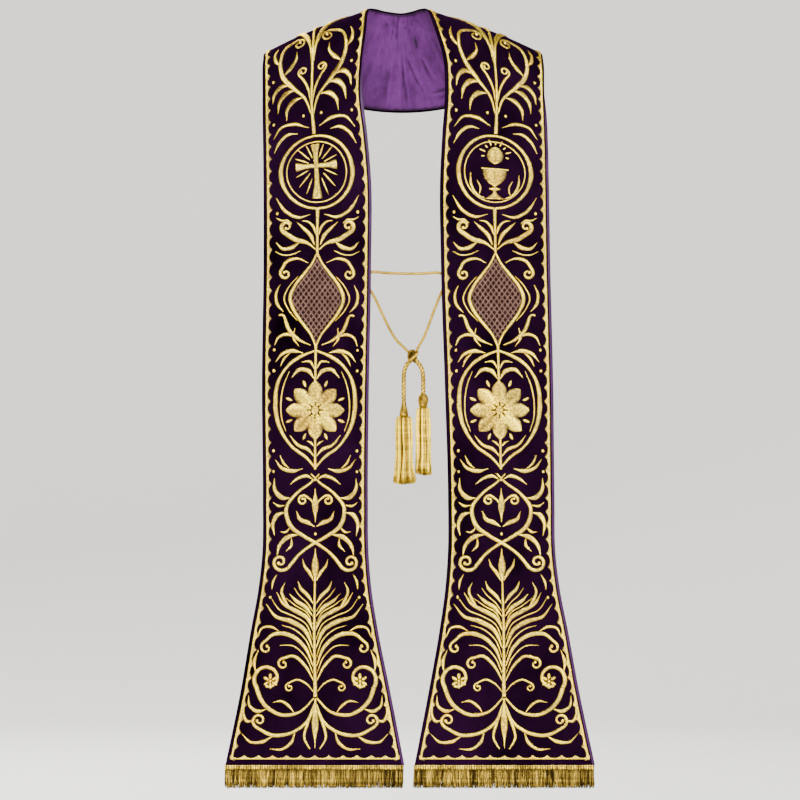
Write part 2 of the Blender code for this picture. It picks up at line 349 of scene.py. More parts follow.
# A bump of so many metres, laid over another one's normal where there is one.
def addBump(tree, height, distance, strength, normal=None):
    inputs = {"Height": height, "Distance": distance, "Strength": strength}
    if normal is not None:
        inputs["Normal"] = normal
    return addNode(tree, "ShaderNodeBump", inputs).outputs["Normal"]


# A Math node on two values. MULTIPLY_ADD adds the third to the product of the others.
def addMath(tree, operation, first, second=0.5, third=None):
    inputs = {0: first, 1: second} if third is None else {0: first, 1: second, 2: third}
    return addNode(tree, "ShaderNodeMath", inputs, operation=operation).outputs[0]


# Velvet: a dark nap with a soft bloom, whose tone drifts where the pile lies another way. In each look a
# noise is its scale, detail, roughness and stretch, and a bump its distance and strength.
velvetLook = {
    "dark": (0.0008, 0.0002, 0.0008), "light": (0.0062, 0.0009, 0.0070), "darkTo": 0.44, "lightFrom": 0.90,
    "roughness": 0.9, "sheen": 0.03, "sheenRoughness": 0.40, "bloom": (0.45, 0.12, 0.62, 1.0),
    "drift": (14.0, 3.0, 0.55, (1.0, 1.0, 0.6)), "pile": (900.0, 2.0, 0.6), "pileShare": 0.35,
    "pileBump": (0.0004, 0.6),
}


def velvetMaterial(look):
    made, tree, shader, place = newMaterial("velvet", roughness=look["roughness"], sheen=look["sheen"],
                                            sheenRoughness=look["sheenRoughness"], sheenTint=look["bloom"],
                                            specular=0.0)
    drift = addNoise(tree, place, *look["drift"])
    pile = addNoise(tree, place, *look["pile"])
    mixed = addMath(tree, "MULTIPLY_ADD", pile, look["pileShare"], drift)
    tone = addRamp(tree, mixed, [(look["darkTo"], look["dark"]), (look["lightFrom"], look["light"])])
    joinShader(tree, shader, tone, addBump(tree, pile, *look["pileBump"]))
    return made


# Satin: a smooth purple weave with lighter and darker passages, random streaks of painted sheen and shade
# like those along its soft creases, stronger behind the neck than on the long panels, where calm sets their
# share by height. Its rise attribute paints shade at its rim and in sunk creases, and a highlight on raised
# ridges.
satinLook = {
    "rim": (0.016, 0.0042, 0.020), "dark": (0.044, 0.0077, 0.057), "middle": (0.059, 0.0114, 0.077),
    "light": (0.075, 0.0155, 0.098), "stops": (0.20, 0.38, 0.50, 0.66), "rimShade": 0.26,
    "roughness": 0.45, "specular": 0.08,
    "passage": (48.0, 3.0, 0.55, (1.0, 1.0, 0.6)), "streak": (190.0, 3.0, 0.6, (1.0, 1.0, 0.5)),
    "streakShare": 0.35, "calm": {"From Min": -0.34, "From Max": -0.12, "To Min": 0.40, "To Max": 1.0},
    "weave": {"Scale": 260.0, "Distortion": 0.6, "Detail": 1.0}, "weaveBump": (0.00006, 0.5),
    "slub": (700.0, 2.0, 0.6, (1.0, 1.0, 0.05)), "slubBump": (0.0002, 0.6),
}


def satinMaterial(look):
    made, tree, shader, place = newMaterial("satin", roughness=look["roughness"], specular=look["specular"])
    passage = addMath(tree, "MULTIPLY", addNoise(tree, place, *look["passage"]), 1 - look["streakShare"])
    streak = addNoise(tree, place, *look["streak"])
    mixed = addMath(tree, "MULTIPLY_ADD", streak, look["streakShare"], passage)
    height = addNode(tree, "ShaderNodeSeparateXYZ", {"Vector": place}).outputs["Z"]
    share = addNode(tree, "ShaderNodeMapRange", {"Value": height, **look["calm"]}).outputs["Result"]
    mixed = addMath(tree, "ADD", addMath(tree, "MULTIPLY", addMath(tree, "SUBTRACT", mixed), share))
    # Painted shade at the rim and in sunk creases, and a painted highlight on raised ridges, from the rise attribute.
    rise = addNode(tree, "ShaderNodeAttribute", attribute_name="rise").outputs["Fac"]
    paintedShading = addMath(tree, "MULTIPLY", addMath(tree, "SUBTRACT", 1.0, rise), look["rimShade"])
    colors = look["rim"], look["dark"], look["middle"], look["light"]
    tone = addRamp(tree, addMath(tree, "SUBTRACT", mixed, paintedShading), list(zip(look["stops"], colors)))
    weave = addNode(tree, "ShaderNodeTexWave", {"Vector": place, **look["weave"]}, bands_direction="DIAGONAL")
    fine = addBump(tree, weave.outputs["Fac"], *look["weaveBump"])
    slub = addNoise(tree, place, *look["slub"])
    joinShader(tree, shader, tone, addBump(tree, slub, *look["slubBump"], fine))
    return made


# Gold thread laid in rows: ridges across the uv's first direction, which is in metres along the stroke,
# flecks, and slow passages of a warmer gold. The tone is the sum of rows, flecks and drift by their shares,
# less balance. Where shaded is set, the rise attribute paints shade and highlight: the thread darkens from 1
# on the top of a padded run to 0 in a groove or at its side, and is lighter still above 1.
goldMix = {
    "edgeTint": (1.0, 0.76, 0.20, 1.0), "stops": (0.28, 0.58, 0.88), "balance": 0.43,
    "waves": {"Distortion": 1.2, "Detail": 2.0, "Detail Scale": 1.5}, "rowShare": 0.20, "rowStrength": 0.7,
    "drift": (60.0, 3.0, 0.6), "driftShare": 0.5, "fleckScale": 0.30, "fleck": (3.0, 0.7, (1.0, 0.4, 1.0)),
    "fleckShare": 1.3, "shadeFrom": 0.66, "shade": 0.62,
    "patch": (34.0, 2.0, 0.5), "patchFrom": 0.46, "patchTo": 0.66, "patchTint": (1.0, 0.68, 0.30, 1.0),
}
goldLooks = {
    "goldStitch": {"colors": ((0.085, 0.056, 0.020), (0.43, 0.300, 0.034), (1.0, 0.75, 0.03)),
                   "ridge": 0.0006, "depth": 0.0002, "roughness": 0.27, "shaded": True, "warm": 0.40},
    "goldCord": {"colors": ((0.035, 0.019, 0.004), (0.215, 0.130, 0.013), (0.62, 0.40, 0.025)),
                 "ridge": 0.0005, "shaded": True},
    "goldTassel": {"colors": ((0.13, 0.072, 0.010), (0.68, 0.46, 0.025), (1.0, 0.80, 0.03)),
                   "ridge": 0.0007, "shaded": True},
    "goldFringe": {"colors": ((0.018, 0.010, 0.003), (0.20, 0.130, 0.021), (0.66, 0.45, 0.05)),
                   "ridge": 0.0006, "shaded": True},
    "goldHeading": {"colors": ((0.04, 0.025, 0.006), (0.34, 0.220, 0.020), (1.0, 0.69, 0.03)),
                    "ridge": 0.0011, "shaded": True},
    "goldNet": {"colors": ((0.023, 0.0112, 0.0095), (0.092, 0.050, 0.041), (0.25, 0.144, 0.100)),
                "ridge": 0.0006},
    "mauveCloth": {"colors": ((0.005, 0.0019, 0.0025), (0.012, 0.0047, 0.0056), (0.028, 0.0116, 0.0125)),
                   "ridge": 0.0009, "roughness": 0.75, "metallic": 0.0, "specular": 0.05},
}


def goldMaterial(name, colors, ridge, depth=0.00012, roughness=0.38, metallic=0.92, specular=0.5,
                 shaded=False, warm=0.0, mix=goldMix):
    made, tree, shader, place = newMaterial(name, roughness=roughness, metallic=metallic, specular=specular,
                                            edgeTint=mix["edgeTint"])
    along = addNode(tree, "ShaderNodeUVMap", uv_map="thread").outputs["UV"]
    waves = {"Vector": along, "Scale": math.pi / 10 / ridge, **mix["waves"]}
    rows = addNode(tree, "ShaderNodeTexWave", waves).outputs["Fac"]
    drift = addMath(tree, "MULTIPLY", addNoise(tree, place, *mix["drift"]), mix["driftShare"])
    drift = addMath(tree, "SUBTRACT", drift, mix["balance"])
    fleck = addNoise(tree, along, mix["fleckScale"] / ridge, *mix["fleck"])
    flecked = addMath(tree, "MULTIPLY_ADD", fleck, mix["fleckShare"], drift)
    mixed = addMath(tree, "MULTIPLY_ADD", rows, mix["rowShare"], flecked)
    if shaded:
        # Painted shade at the sides and in the grooves, and a painted highlight on the tops, from the rise attribute.
        rise = addNode(tree, "ShaderNodeAttribute", attribute_name="rise").outputs["Fac"]
        paintedShading = addMath(tree, "MULTIPLY", addMath(tree, "SUBTRACT", mix["shadeFrom"], rise), mix["shade"])
        mixed = addMath(tree, "SUBTRACT", mixed, paintedShading)
    tone = addRamp(tree, mixed, list(zip(mix["stops"], colors)))
    if warm:
        patch = addNoise(tree, place, *mix["patch"])
        share = addRamp(tree, patch, [(mix["patchFrom"], (0.0,) * 3), (mix["patchTo"], (warm,) * 3)])
        blend = addNode(tree, "ShaderNodeMix", {0: share, 6: tone, 7: mix["patchTint"]}, data_type="RGBA",
                        blend_type="MULTIPLY")
        tone = blend.outputs[2]
    joinShader(tree, shader, tone, addBump(tree, rows, depth, mix["rowStrength"]))
    return made


materials = {"velvet": velvetMaterial(velvetLook), "satin": satinMaterial(satinLook)}
for name, look in goldLooks.items():
    materials[name] = goldMaterial(name, **look)
print("materials made")


# Rings round a line, square to its directions, starting from their cross product with depth (the Y axis).
def ringsRound(direction, turn):
    side = unit(np.cross(direction, (0.0, 1.0, 0.0)))
    front = np.cross(direction, side)
    return np.cos(turn)[:, None] * side[..., None, :] + np.sin(turn)[:, None] * front[..., None, :]


# A twisted rope: a round profile, from core to 1 of its radius, with one lobe for each strand, turned
# steadily as it is carried along the path. Its rise attribute paints shade in the grooves between the
# strands. A closed path is a knot's, which also has painted shade towards the knot's middle, between its
# turns.
ropeShape = {"strands": 3, "steps": 20, "core": 0.76, "slant": 0.6, "grooveCurve": 0.7, "endTone": 0.3,
             "innerShade": 2.6}


def ropePoints(path, radius, pitch, closed, use):
    if closed:
        direction = unit(np.roll(path, -1, axis=0) - np.roll(path, 1, axis=0))
    else:
        direction = unit(np.gradient(path, axis=0))
    turn = fullTurn(use["steps"])
    run = runLength(path)[:, None]
    lobes = np.abs(np.cos(use["strands"] / 2 * (turn - 2 * np.pi * run / pitch)))
    reach = radius * (use["core"] + (1 - use["core"]) * lobes)
    points = path[:, None] + ringsRound(direction, turn) * reach[..., None]
    uv = together(run + use["slant"] * turn * radius, turn * radius)
    # Painted shade in the grooves between strands, and for a knot between its turns.
    rise = lobes ** use["grooveCurve"]
    if closed:
        outward = np.linalg.norm((points - path.mean(axis=0))[..., :2], axis=-1)
        rise = rise * np.clip((outward / outward.max() - 0.5) * use["innerShade"], 0, 1)
    return points, uv, rise


# The rope as a closed mesh. Its ends are fans round a middle point, or a closed path joins its last ring to
# its first.
def rope(name, path, radius, pitch, closed=False, use=ropeShape):
    points, uv, rise = ropePoints(path, radius, pitch, closed, use)
    numbers = gridNumbers(len(path), use["steps"])
    tube = gridFaces(numbers, closed=True)
    first, last = numbers[0], numbers[-1]
    if closed:
        join = np.column_stack([last, np.roll(last, -1), np.roll(first, -1), first])
        return meshObject(name, points, tube, join, uv=uv, rise=rise)
    middle = np.full_like(first, numbers.size)
    start = np.column_stack([middle, np.roll(first, -1), first])
    end = np.column_stack([middle + 1, last, np.roll(last, -1)])
    points = np.vstack([points.reshape(-1, 3), path[0], path[-1]])
    uv = np.vstack([uv.reshape(-1, 2), uv[0, 0], uv[-1, 0]])
    rise = np.append(rise, (use["endTone"], use["endTone"]))
    return meshObject(name, points, tube, start, end, uv=uv, rise=rise)


# Gives a piece its material, its body, its slot and the nodes that it replaces.
def finishPiece(piece, material, slotName, *nodes):
    piece.data.materials.append(materials[material])
    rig.ride(piece, "root")
    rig.slot(piece, slotName)
    if nodes:
        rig.replaces(piece, *nodes)
    return piece


# The tie cord runs from the knot up to the left loop, across, and down from the right loop to the knot.
# hidden holds the ends that go on inside the knot and the heads.
tieCord = {
    "diameter": 0.0042, "pitch": 0.0105, "ringSpacing": 0.0007,
    "hidden": ((0.0100, -0.0870, -0.4806), (0.0170, -0.0870, -0.4802)),
    "route": (
        (0.0075, -0.0870, -0.4783), (0.0000, -0.0871, -0.4712), (-0.0084, -0.0873, -0.4630),
        (-0.0185, -0.0875, -0.4470), (-0.0276, -0.0877, -0.4284), (-0.0376, -0.0879, -0.4068),
        (-0.0476, -0.0880, -0.3886), (-0.0528, -0.0880, -0.3796), (-0.0540, -0.0880, -0.3755),
        (-0.0528, -0.0880, -0.3712), (-0.0497, -0.0880, -0.3681), (-0.0455, -0.0880, -0.3670),
        (-0.0240, -0.0880, -0.3679), (0.0020, -0.0880, -0.3689), (0.0280, -0.0880, -0.3688),
        (0.0517, -0.0880, -0.3682), (0.0564, -0.0880, -0.3696), (0.0593, -0.0880, -0.3730),
        (0.0602, -0.0880, -0.3767), (0.0596, -0.0880, -0.3800), (0.0526, -0.0880, -0.3976),
        (0.0448, -0.0879, -0.4172), (0.0374, -0.0876, -0.4372), (0.0294, -0.0873, -0.4576),
        (0.0189, -0.0870, -0.4765),
    ),
}
tasselCords = {
    "diameter": 0.006, "fullness": 1.09, "pitch": 0.016, "ringSpacing": 0.0008,
    "hidden": {"left": ((0.0114, -0.0870, -0.4890), (0.0012, -0.0870, -0.5513)),
               "right": ((0.0169, -0.0870, -0.4890), (0.0283, -0.0870, -0.5388))},
    "left": (
        (0.0089, -0.0870, -0.4921), (0.0046, -0.0870, -0.4979), (0.0019, -0.0870, -0.5050),
        (0.0011, -0.0870, -0.5150), (0.0010, -0.0870, -0.5300), (0.0012, -0.0870, -0.5499),
    ),
    "right": (
        (0.0193, -0.0870, -0.4919), (0.0240, -0.0870, -0.4980), (0.0270, -0.0870, -0.5050),
        (0.0282, -0.0870, -0.5140), (0.0284, -0.0870, -0.5250), (0.0283, -0.0870, -0.5373),
    ),
}


# A cord's route with the ends that are hidden in what it is fastened to.
def withEnds(route, ends, spacing):
    return evenPoints(np.vstack([ends[0], route, ends[1]]), spacing)


# The knot: the same rope wound three times over and under itself on a closed path round an upright barrel.
knotShape = {"center": (0.0140, -0.0870, -0.4844), "barrel": 0.0041, "swell": 0.0018, "height": 0.0067,
             "turned": 0.9, "tilt": 0.22, "radius": 0.0026, "pitch": 0.0085, "steps": 170}


def knotPath(use):
    t = fullTurn(use["steps"])
    reach = use["barrel"] + use["swell"] * np.cos(3 * t)
    turn = 2 * t + use["turned"]
    x, y, z = reach * np.cos(turn), reach * np.sin(turn), use["height"] * np.sin(3 * t)
    across, up = math.cos(use["tilt"]), math.sin(use["tilt"])
    return np.array(use["center"]) + np.column_stack([x * across + z * up, y, z * across - x * up])


# Threads as thin round tubes: paths holds one row of points for each thread, tone goes from 0 for a dark one
# to 1 for a bright one, for each ring or each point of it, and holds painted shade as well as tone that
# varies at random, and the rings shrink at both ends.
threadShape = {"steps": 4, "root": 0.7, "tip": (0.8, 0.25), "slant": 0.0006, "girth": 0.001}


def threads(name, paths, radius, tone, use=threadShape):
    count, rings = paths.shape[:2]
    turn = fullTurn(use["steps"])
    gone = np.cumsum(np.linalg.norm(np.diff(paths, axis=1), axis=2), axis=1)
    run = np.hstack([np.zeros((count, 1)), gone])[:, :, None]
    slim = np.ones(rings)
    slim[0] = use["root"]
    slim[-2:] = use["tip"]
    reach = radius[:, None, None, None] * slim[:, None, None]
    points = paths[:, :, None] + ringsRound(unit(np.gradient(paths, axis=1)), turn) * reach
    uv = together(run + use["slant"] * turn, turn * use["girth"])
    rise = np.broadcast_to(tone if tone.ndim > 2 else tone[:, :, None], points.shape[:3])
    return meshObject(name, points, *tubeFaces(np.full(count, rings), use["steps"]), uv=uv, rise=rise)


# Each tassel's head is a profile of radii and heights, and its skirt one of shares of the radius and of the
# length, with a lean to the right at its foot.
tassels = {
    "left": {
        "place": (0.0012, -0.0870, -0.5502), "radius": 0.0124, "length": 0.0968, "threads": 400, "folds": 9,
        "head": ((0.0031, 0.0), (0.0034, -0.0035), (0.0046, -0.0080), (0.0058, -0.0140), (0.0060, -0.0180)),
        "skirt": ((0.42, 0.0), (0.86, 0.018), (0.96, 0.045), (1.01, 0.083), (1.05, 0.25), (1.10, 0.60),
                  (1.18, 0.84), (1.33, 1.0)),
        "lean": 0.0010,
    },
    "right": {
        "place": (0.0283, -0.0870, -0.5376), "radius": 0.0113, "length": 0.0970, "threads": 330, "folds": 8,
        "head": ((0.0031, 0.0), (0.0050, -0.0016), (0.0067, -0.0055), (0.0069, -0.0105), (0.0057, -0.0150),
                 (0.0050, -0.0178)),
        "skirt": ((0.42, 0.0), (0.72, 0.018), (0.84, 0.045), (0.90, 0.083), (0.98, 0.30), (1.02, 0.55),
                  (1.03, 0.80), (1.01, 1.0)),
        "lean": 0.0004,
    },
    "headRings": 80, "headSteps": 28, "winding": 0.0013, "windingDepth": 0.00035,
    "threadRadius": 0.00066, "bunches": 30, "angleStep": 2.39996, "topRings": (0.0, 0.018, 0.045),
    "rings": 12, "foldDepth": 0.34, "foldPull": 0.42, "filled": 0.95, "sway": (0.0005, 0.0014),
    "bunchSway": 0.00045, "flick": 0.0016, "uneven": 0.035, "tuck": 0.0003,
}


# A tassel head turned from its profile, ribbed by the thread wound round it.
def tasselHead(label, use):
    rings, steps = use["headRings"], use["headSteps"]
    fine = smoothLine(use[label]["head"], rings)
    radius, height = fine[:, :1], fine[:, 1:]
    wound = np.abs(np.sin(np.pi * height / use["winding"]))
    turn = fullTurn(steps)
    x, y, top = use[label]["place"]
    reach = radius + use["windingDepth"] * wound
    points = together(x + reach * np.cos(turn), y + reach * np.sin(turn), top + height)
    uv = together(height + 0.0002 * turn, turn * 0.004)
    # Painted shade in the grooves between the windings, through the rise attribute.
    rise = wound**0.6 * (0.80 + 0.25 * np.sin(turn * 3 + height * 300))
    walls, ends = tubeFaces([rings], steps)
    made = meshObject("tasselHead" + label, points, walls[:, ::-1], ends[:, ::-1], uv=uv, rise=rise)
    return finishPiece(made, "goldCord", "gold_cord", "tassel_head_" + label)


# A tassel's skirt: threads in layers round its axis, drawn together into folds. Each starts under the head,
# spreads by the profile and sways with its fold. The folds' grooves and the inner layers have painted shade,
# and bunches share a tone.
def tasselSkirt(label, use, seed):
    own = use[label]
    rng = np.random.default_rng(seed)
    count, folds, bunches = own["threads"], own["folds"], use["bunches"]
    layer = np.sqrt((np.arange(count) + 0.5) / count)
    angle = np.arange(count) * use["angleStep"] + rng.normal(0, 0.03, count)
    bunch = (angle % (2 * np.pi) * bunches / (2 * np.pi)).astype(int)
    firstFold = 0.7
    turned = folds * angle + 1.3 * np.sin(angle + seed) + firstFold
    way = (angle - use["foldPull"] / folds * np.sin(turned))[:, None]
    t = np.concatenate([use["topRings"], np.linspace(0, 1, use["rings"] + 1)[1:]])
    spread = np.interp(t, *np.array(own["skirt"]).T[::-1])
    crest = 0.5 + 0.5 * np.cos(turned)
    sunk = np.sin(np.pi * np.clip(t * 1.1 + 0.06, 0, 1)) ** 0.4
    fold = 1 - use["foldDepth"] * (1 - crest)[:, None] * sunk
    reach = own["radius"] * use["filled"] * layer[:, None] * spread * fold
    which = np.round((turned - firstFold) / (2 * np.pi)).astype(int) % folds
    phase, size = rng.uniform(0, 6.28, folds)[which, None], rng.uniform(*use["sway"], folds)[which, None]
    sway = size * np.sin(t * 8.0 + phase) * t**0.7
    sway = sway + rng.normal(0, use["bunchSway"], bunches)[bunch, None] * np.sin(np.pi * t) ** 0.5
    flick = rng.uniform(-0.6, 1.0, folds)[which, None] * use["flick"] * np.clip(t * 6 - 5, 0, 1) ** 2
    uneven = rng.uniform(0, use["uneven"], folds)[which, None] + use["uneven"] * (1 - crest[:, None])
    length = own["length"] * (1 - rng.uniform(0, 0.012, (count, 1)) - uneven * layer[:, None])
    x, y, top = own["place"]
    paths = np.stack([
        x + own["lean"] * t + (reach + flick) * np.cos(way) + sway,
        y + (reach + flick) * np.sin(way),
        top + own["head"][-1][1] - use["tuck"] - length * t], axis=-1)
    # Painted shade in the folds' grooves and the inner layers, with random tone for each bunch and thread; along adds
    # painted shade just under the head and darkens the threads towards their foot.
    tone = 0.06 + 1.05 * crest**0.8 * layer + rng.normal(0, 0.24, bunches)[bunch] + rng.normal(0, 0.12, count)
    along = 1 + 0.16 * np.sin(t * 9.0 + phase * 2) - 0.30 * np.exp(-t * 14) - 0.25 * t**8
    made = threads("tasselSkirt" + label, paths, rng.uniform(0.85, 1.2, count) * use["threadRadius"],
                   np.clip(tone[:, None] * along, 0, 1))
    return finishPiece(made, "goldTassel", "gold_cord", "tassel_skirt_" + label)


knot = finishPiece(rope("tieKnot", knotPath(knotShape), knotShape["radius"], knotShape["pitch"], closed=True),
                   "goldCord", "gold_cord", "tie_knot")
tiePath = withEnds(tieCord["route"], tieCord["hidden"], tieCord["ringSpacing"])
tie = finishPiece(rope("tieCord", tiePath, tieCord["diameter"] / 2, tieCord["pitch"]),
                  "goldCord", "gold_cord", "tie_cord")
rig.cord(tie, exit=tuple(tiePath[0]), length=float(runLength(tiePath)[-1]), diameter=tieCord["diameter"],
        far_end="knot", stiffness="limp", lay="hanging", path=tiePath, with_pieces=[knot])
for seed, label in enumerate(sides):
    head = tasselHead(label, tassels)
    skirt = tasselSkirt(label, tassels, seed + 3)
    path = withEnds(tasselCords[label], tasselCords["hidden"][label], tasselCords["ringSpacing"])
    radius = tasselCords["diameter"] / 2 * tasselCords["fullness"]
    end = finishPiece(rope("tasselCord" + label, path, radius, tasselCords["pitch"]),
                      "goldCord", "gold_cord", "tassel_cord_" + label)
    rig.cord(end, exit=tuple(path[0]), length=float(runLength(path)[-1]), diameter=tasselCords["diameter"],
            far_end="fitting", stiffness="limp", lay="hanging", path=path, with_pieces=[head, skirt])
print("cords and tassels made")


# The cloth's sections, in millimetres: one row for each section of one half, from the centre-back seam over
# the shoulder to the hem. in is the neck edge and out the shoulder edge; Half is the distance from the
# middle, Sway moves both halves to the right, bow is the rise of the section's middle, and roll is the share
# of the lining's roll past the velvet on the right-hand edge.
sectionColumns = ("inHalf", "inY", "inZ", "inSway", "outHalf", "outY", "outZ", "outSway", "bow", "roll")
sections = {
    "centreBack": (0.0, 68.0, 10.4, -3.0, 0.0, 112.0, -130.4, -1.0, 1.0, 0.0),
    "backOfNeck": (20.0, 58.0, 12.5, -6.0, 72.0, 104.0, -122.5, -1.0, 2.5, 0.0),
    "backShoulder": (32.5, 36.0, 14.0, -7.5, 130.0, 78.0, -99.0, 0.0, 5.0, 0.0),
    "shoulderCrest": (43.5, 0.0, 4.5, -6.5, 195.0, 8.0, -52.0, 0.0, 6.0, 0.0),
    "frontShoulder": (48.5, -32.0, -21.0, -3.5, 199.0, -20.0, -66.0, 0.3, 6.0, 0.0),
    "collarbone": (57.0, -62.0, -67.0, 0.0, 199.2, -48.0, -106.0, 0.8, 4.0, 0.4),
    "upperChest": (58.7, -78.0, -114.0, 0.0, 199.2, -66.0, -145.0, 1.5, 4.0, 1.0),
    "chest": (53.1, -88.0, -175.0, 1.5, 199.3, -80.0, -195.0, 2.8, 4.0, 1.0),
    "belowChest": (49.2, -92.0, -231.0, 2.5, 199.2, -88.0, -240.0, 3.5, 4.0, 1.0),
    "ribs": (49.4, -94.0, -350.0, 3.2, 199.8, -94.0, -350.0, 4.5, 4.0, 1.0),
    "waist": (53.9, -94.0, -532.0, 4.5, 203.1, -94.0, -532.0, 5.5, 4.0, 1.0),
    "hip": (56.7, -94.0, -686.0, 6.0, 203.3, -94.0, -686.0, 7.0, 4.0, 1.0),
    "flareStart": (56.0, -94.0, -763.0, 6.3, 204.5, -94.0, -763.0, 7.3, 4.0, 1.0),
    "upperFlare": (52.1, -94.5, -812.0, 6.5, 210.3, -94.5, -812.0, 7.6, 4.0, 1.0),
    "middleFlare": (43.8, -95.0, -868.0, 7.0, 220.9, -95.0, -868.0, 8.0, 4.0, 1.0),
    "lowerFlare": (28.0, -96.0, -952.0, 8.0, 235.6, -96.0, -952.0, 8.6, 3.0, 1.0),
    "hem": (7.8, -97.0, -1057.0, 8.0, 257.6, -97.0, -1057.0, 9.0, 2.0, 1.0),
}
# The rim and ridge tones below are painted shade at the cloth's rim and painted light and shade on the lining's ridges
# and creases.
cloth = {
    "faceWall": 1.8, "liningWall": 1.0, "gap": 0.3, "apart": 0.15, "liningInset": 2.5, "liningRoll": 2.2,
    "shownBack": 1.6, "shownTo": 150.0, "drawnBack": 1.4, "broadSwell": (0.9, 83.0), "fineSwell": (0.6, 37.0),
    "swellFrom": 260.0, "swellOver": 150.0, "swellShare": 0.6, "mostSunk": 0.9, "rim": 5.0, "rimPaintedShade": -0.7,
    "ridgePaintedShading": 0.45, "ridgePaintedShadingRange": (-1.0, 0.5), "edgeBand": 8.0,
    "edgeSteps": (0.0, 0.06, 0.2, 0.45, 0.9, 2.0, 4.5), "neckTo": 120.0, "frontRows": 210,
}
sectionTable = np.array(list(sections.values()))
middleLine = (sectionTable[:, (0, 1, 2)] + sectionTable[:, (4, 5, 6)]) / 2
sectionPlaces = runLength(middleLine)
mirroredTable = sectionTable[:0:-1] * np.where(np.isin(sectionColumns, ("inHalf", "outHalf")), -1, 1)
wholeTable = np.vstack([mirroredTable, sectionTable])
wholePlaces = np.concatenate([-sectionPlaces[:0:-1], sectionPlaces])
hemPlace = sectionPlaces[-1]
crestPlace = sectionPlaces[list(sections).index("shoulderCrest")]


# The neck edge, the shoulder edge and the bow at places s along one half, in millimetres. The halves meet at
# the seam and stand a hair apart further on.
def clothEdges(side, s):
    inHalf, inY, inZ, inSway, outHalf, outY, outZ, outSway, bow = smoothRows(wholeTable, wholePlaces, s).T[:9]
    apart = cloth["apart"] * np.clip(s / 12.0, 0, 1)
    inner = np.column_stack([side * (inHalf + apart) + inSway, inY, inZ])
    outer = np.column_stack([side * (outHalf + apart) + outSway, outY, outZ])
    return inner, outer, bow


# The share of the lining's roll at places s, which is nothing before the collarbone.
def rollShare(s):
    return smoothRows(wholeTable[:, 9:], wholePlaces, s)[:, 0]


# The velvet's outer surface: a straight line from edge to edge, raised in the middle by the bow, with slow
# swells where the stiffened cloth isn't quite flat.
def clothSurface(side, s, u):
    inner, outer, bow = clothEdges(side, s)
    before, after = clothEdges(side, s - 2.0), clothEdges(side, s + 2.0)
    along = (after[0] + after[1]) - (before[0] + before[1])
    across = outer - inner
    rise = unit(np.cross(along, across) * side)
    (broad, broadRun), (fine, fineRun) = cloth["broadSwell"], cloth["fineSwell"]
    swell = broad * np.sin(s / broadRun + 1.7 * side + 2.2 * u) + fine * np.sin(s / fineRun - 3.1 * u + side)
    share = np.clip((s - cloth["swellFrom"]) / cloth["swellOver"], 0, 1) * cloth["swellShare"]
    lifted = bow * 4 * u * (1 - u) + share * (swell + broad + fine)
    return inner + across * u[:, None] + rise * lifted[:, None]


# The same surface kept as a fine grid of points and outward directions for each half, in metres, which
# onCloth reads between its points.
gridPlaces = np.linspace(0.0, hemPlace, 620)
gridAcross = np.linspace(-0.04, 1.04, 73)


def clothGrid(side):
    s, u = (part.ravel() for part in np.meshgrid(gridPlaces, gridAcross, indexing="ij"))
    points = clothSurface(side, s, u)
    down = clothSurface(side, s + 1.0, u) - clothSurface(side, s - 1.0, u)
    along = clothSurface(side, s, u + 0.004) - clothSurface(side, s, u - 0.004)
    normals = unit(np.cross(down, along) * side)
    shape = (len(gridPlaces), len(gridAcross), 3)
    return points.reshape(shape) * mm, normals.reshape(shape)


clothGrids = {label: clothGrid(side) for label, side in sides.items()}
clothWidths = np.linalg.norm(np.subtract(*clothEdges(1.0, gridPlaces)[:2]), axis=1)


# The cloth's width at places s, in millimetres.
def widthAt(s):
    return np.interp(s, gridPlaces, clothWidths)


# A grid's value fi of the way from row i to the next and fj of the way from column j to the next.
def between(grid, i, j, fi, fj):
    fi, fj = fi[..., None], fj[..., None]
    near = grid[i, j] * (1 - fj) + grid[i, j + 1] * fj
    far = grid[i + 1, j] * (1 - fj) + grid[i + 1, j + 1] * fj
    return near * (1 - fi) + far * fi


# Points on one half at places s, fraction u from the neck edge to the shoulder edge, and lift above the
# velvet in millimetres.
def onCloth(label, s, u, lift):
    points, normals = clothGrids[label]
    row = np.clip(s, 0, hemPlace) / hemPlace * (len(gridPlaces) - 1)
    column = (u - gridAcross[0]) / (gridAcross[1] - gridAcross[0])
    i = np.clip(row.astype(int), 0, len(gridPlaces) - 2)
    j = np.clip(column.astype(int), 0, len(gridAcross) - 2)
    place = between(points, i, j, row - i, column - j)
    out = unit(between(normals, i, j, row - i, column - j))
    return place + out * (lift * mm)[..., None]


# A turned edge: depth below the surface at a distance in from the edge, on a quarter circle.
def edgeRound(distance, radius):
    reach = radius - np.clip(distance, 0, radius)
    return radius - np.sqrt(np.maximum(radius**2 - reach**2, 0))


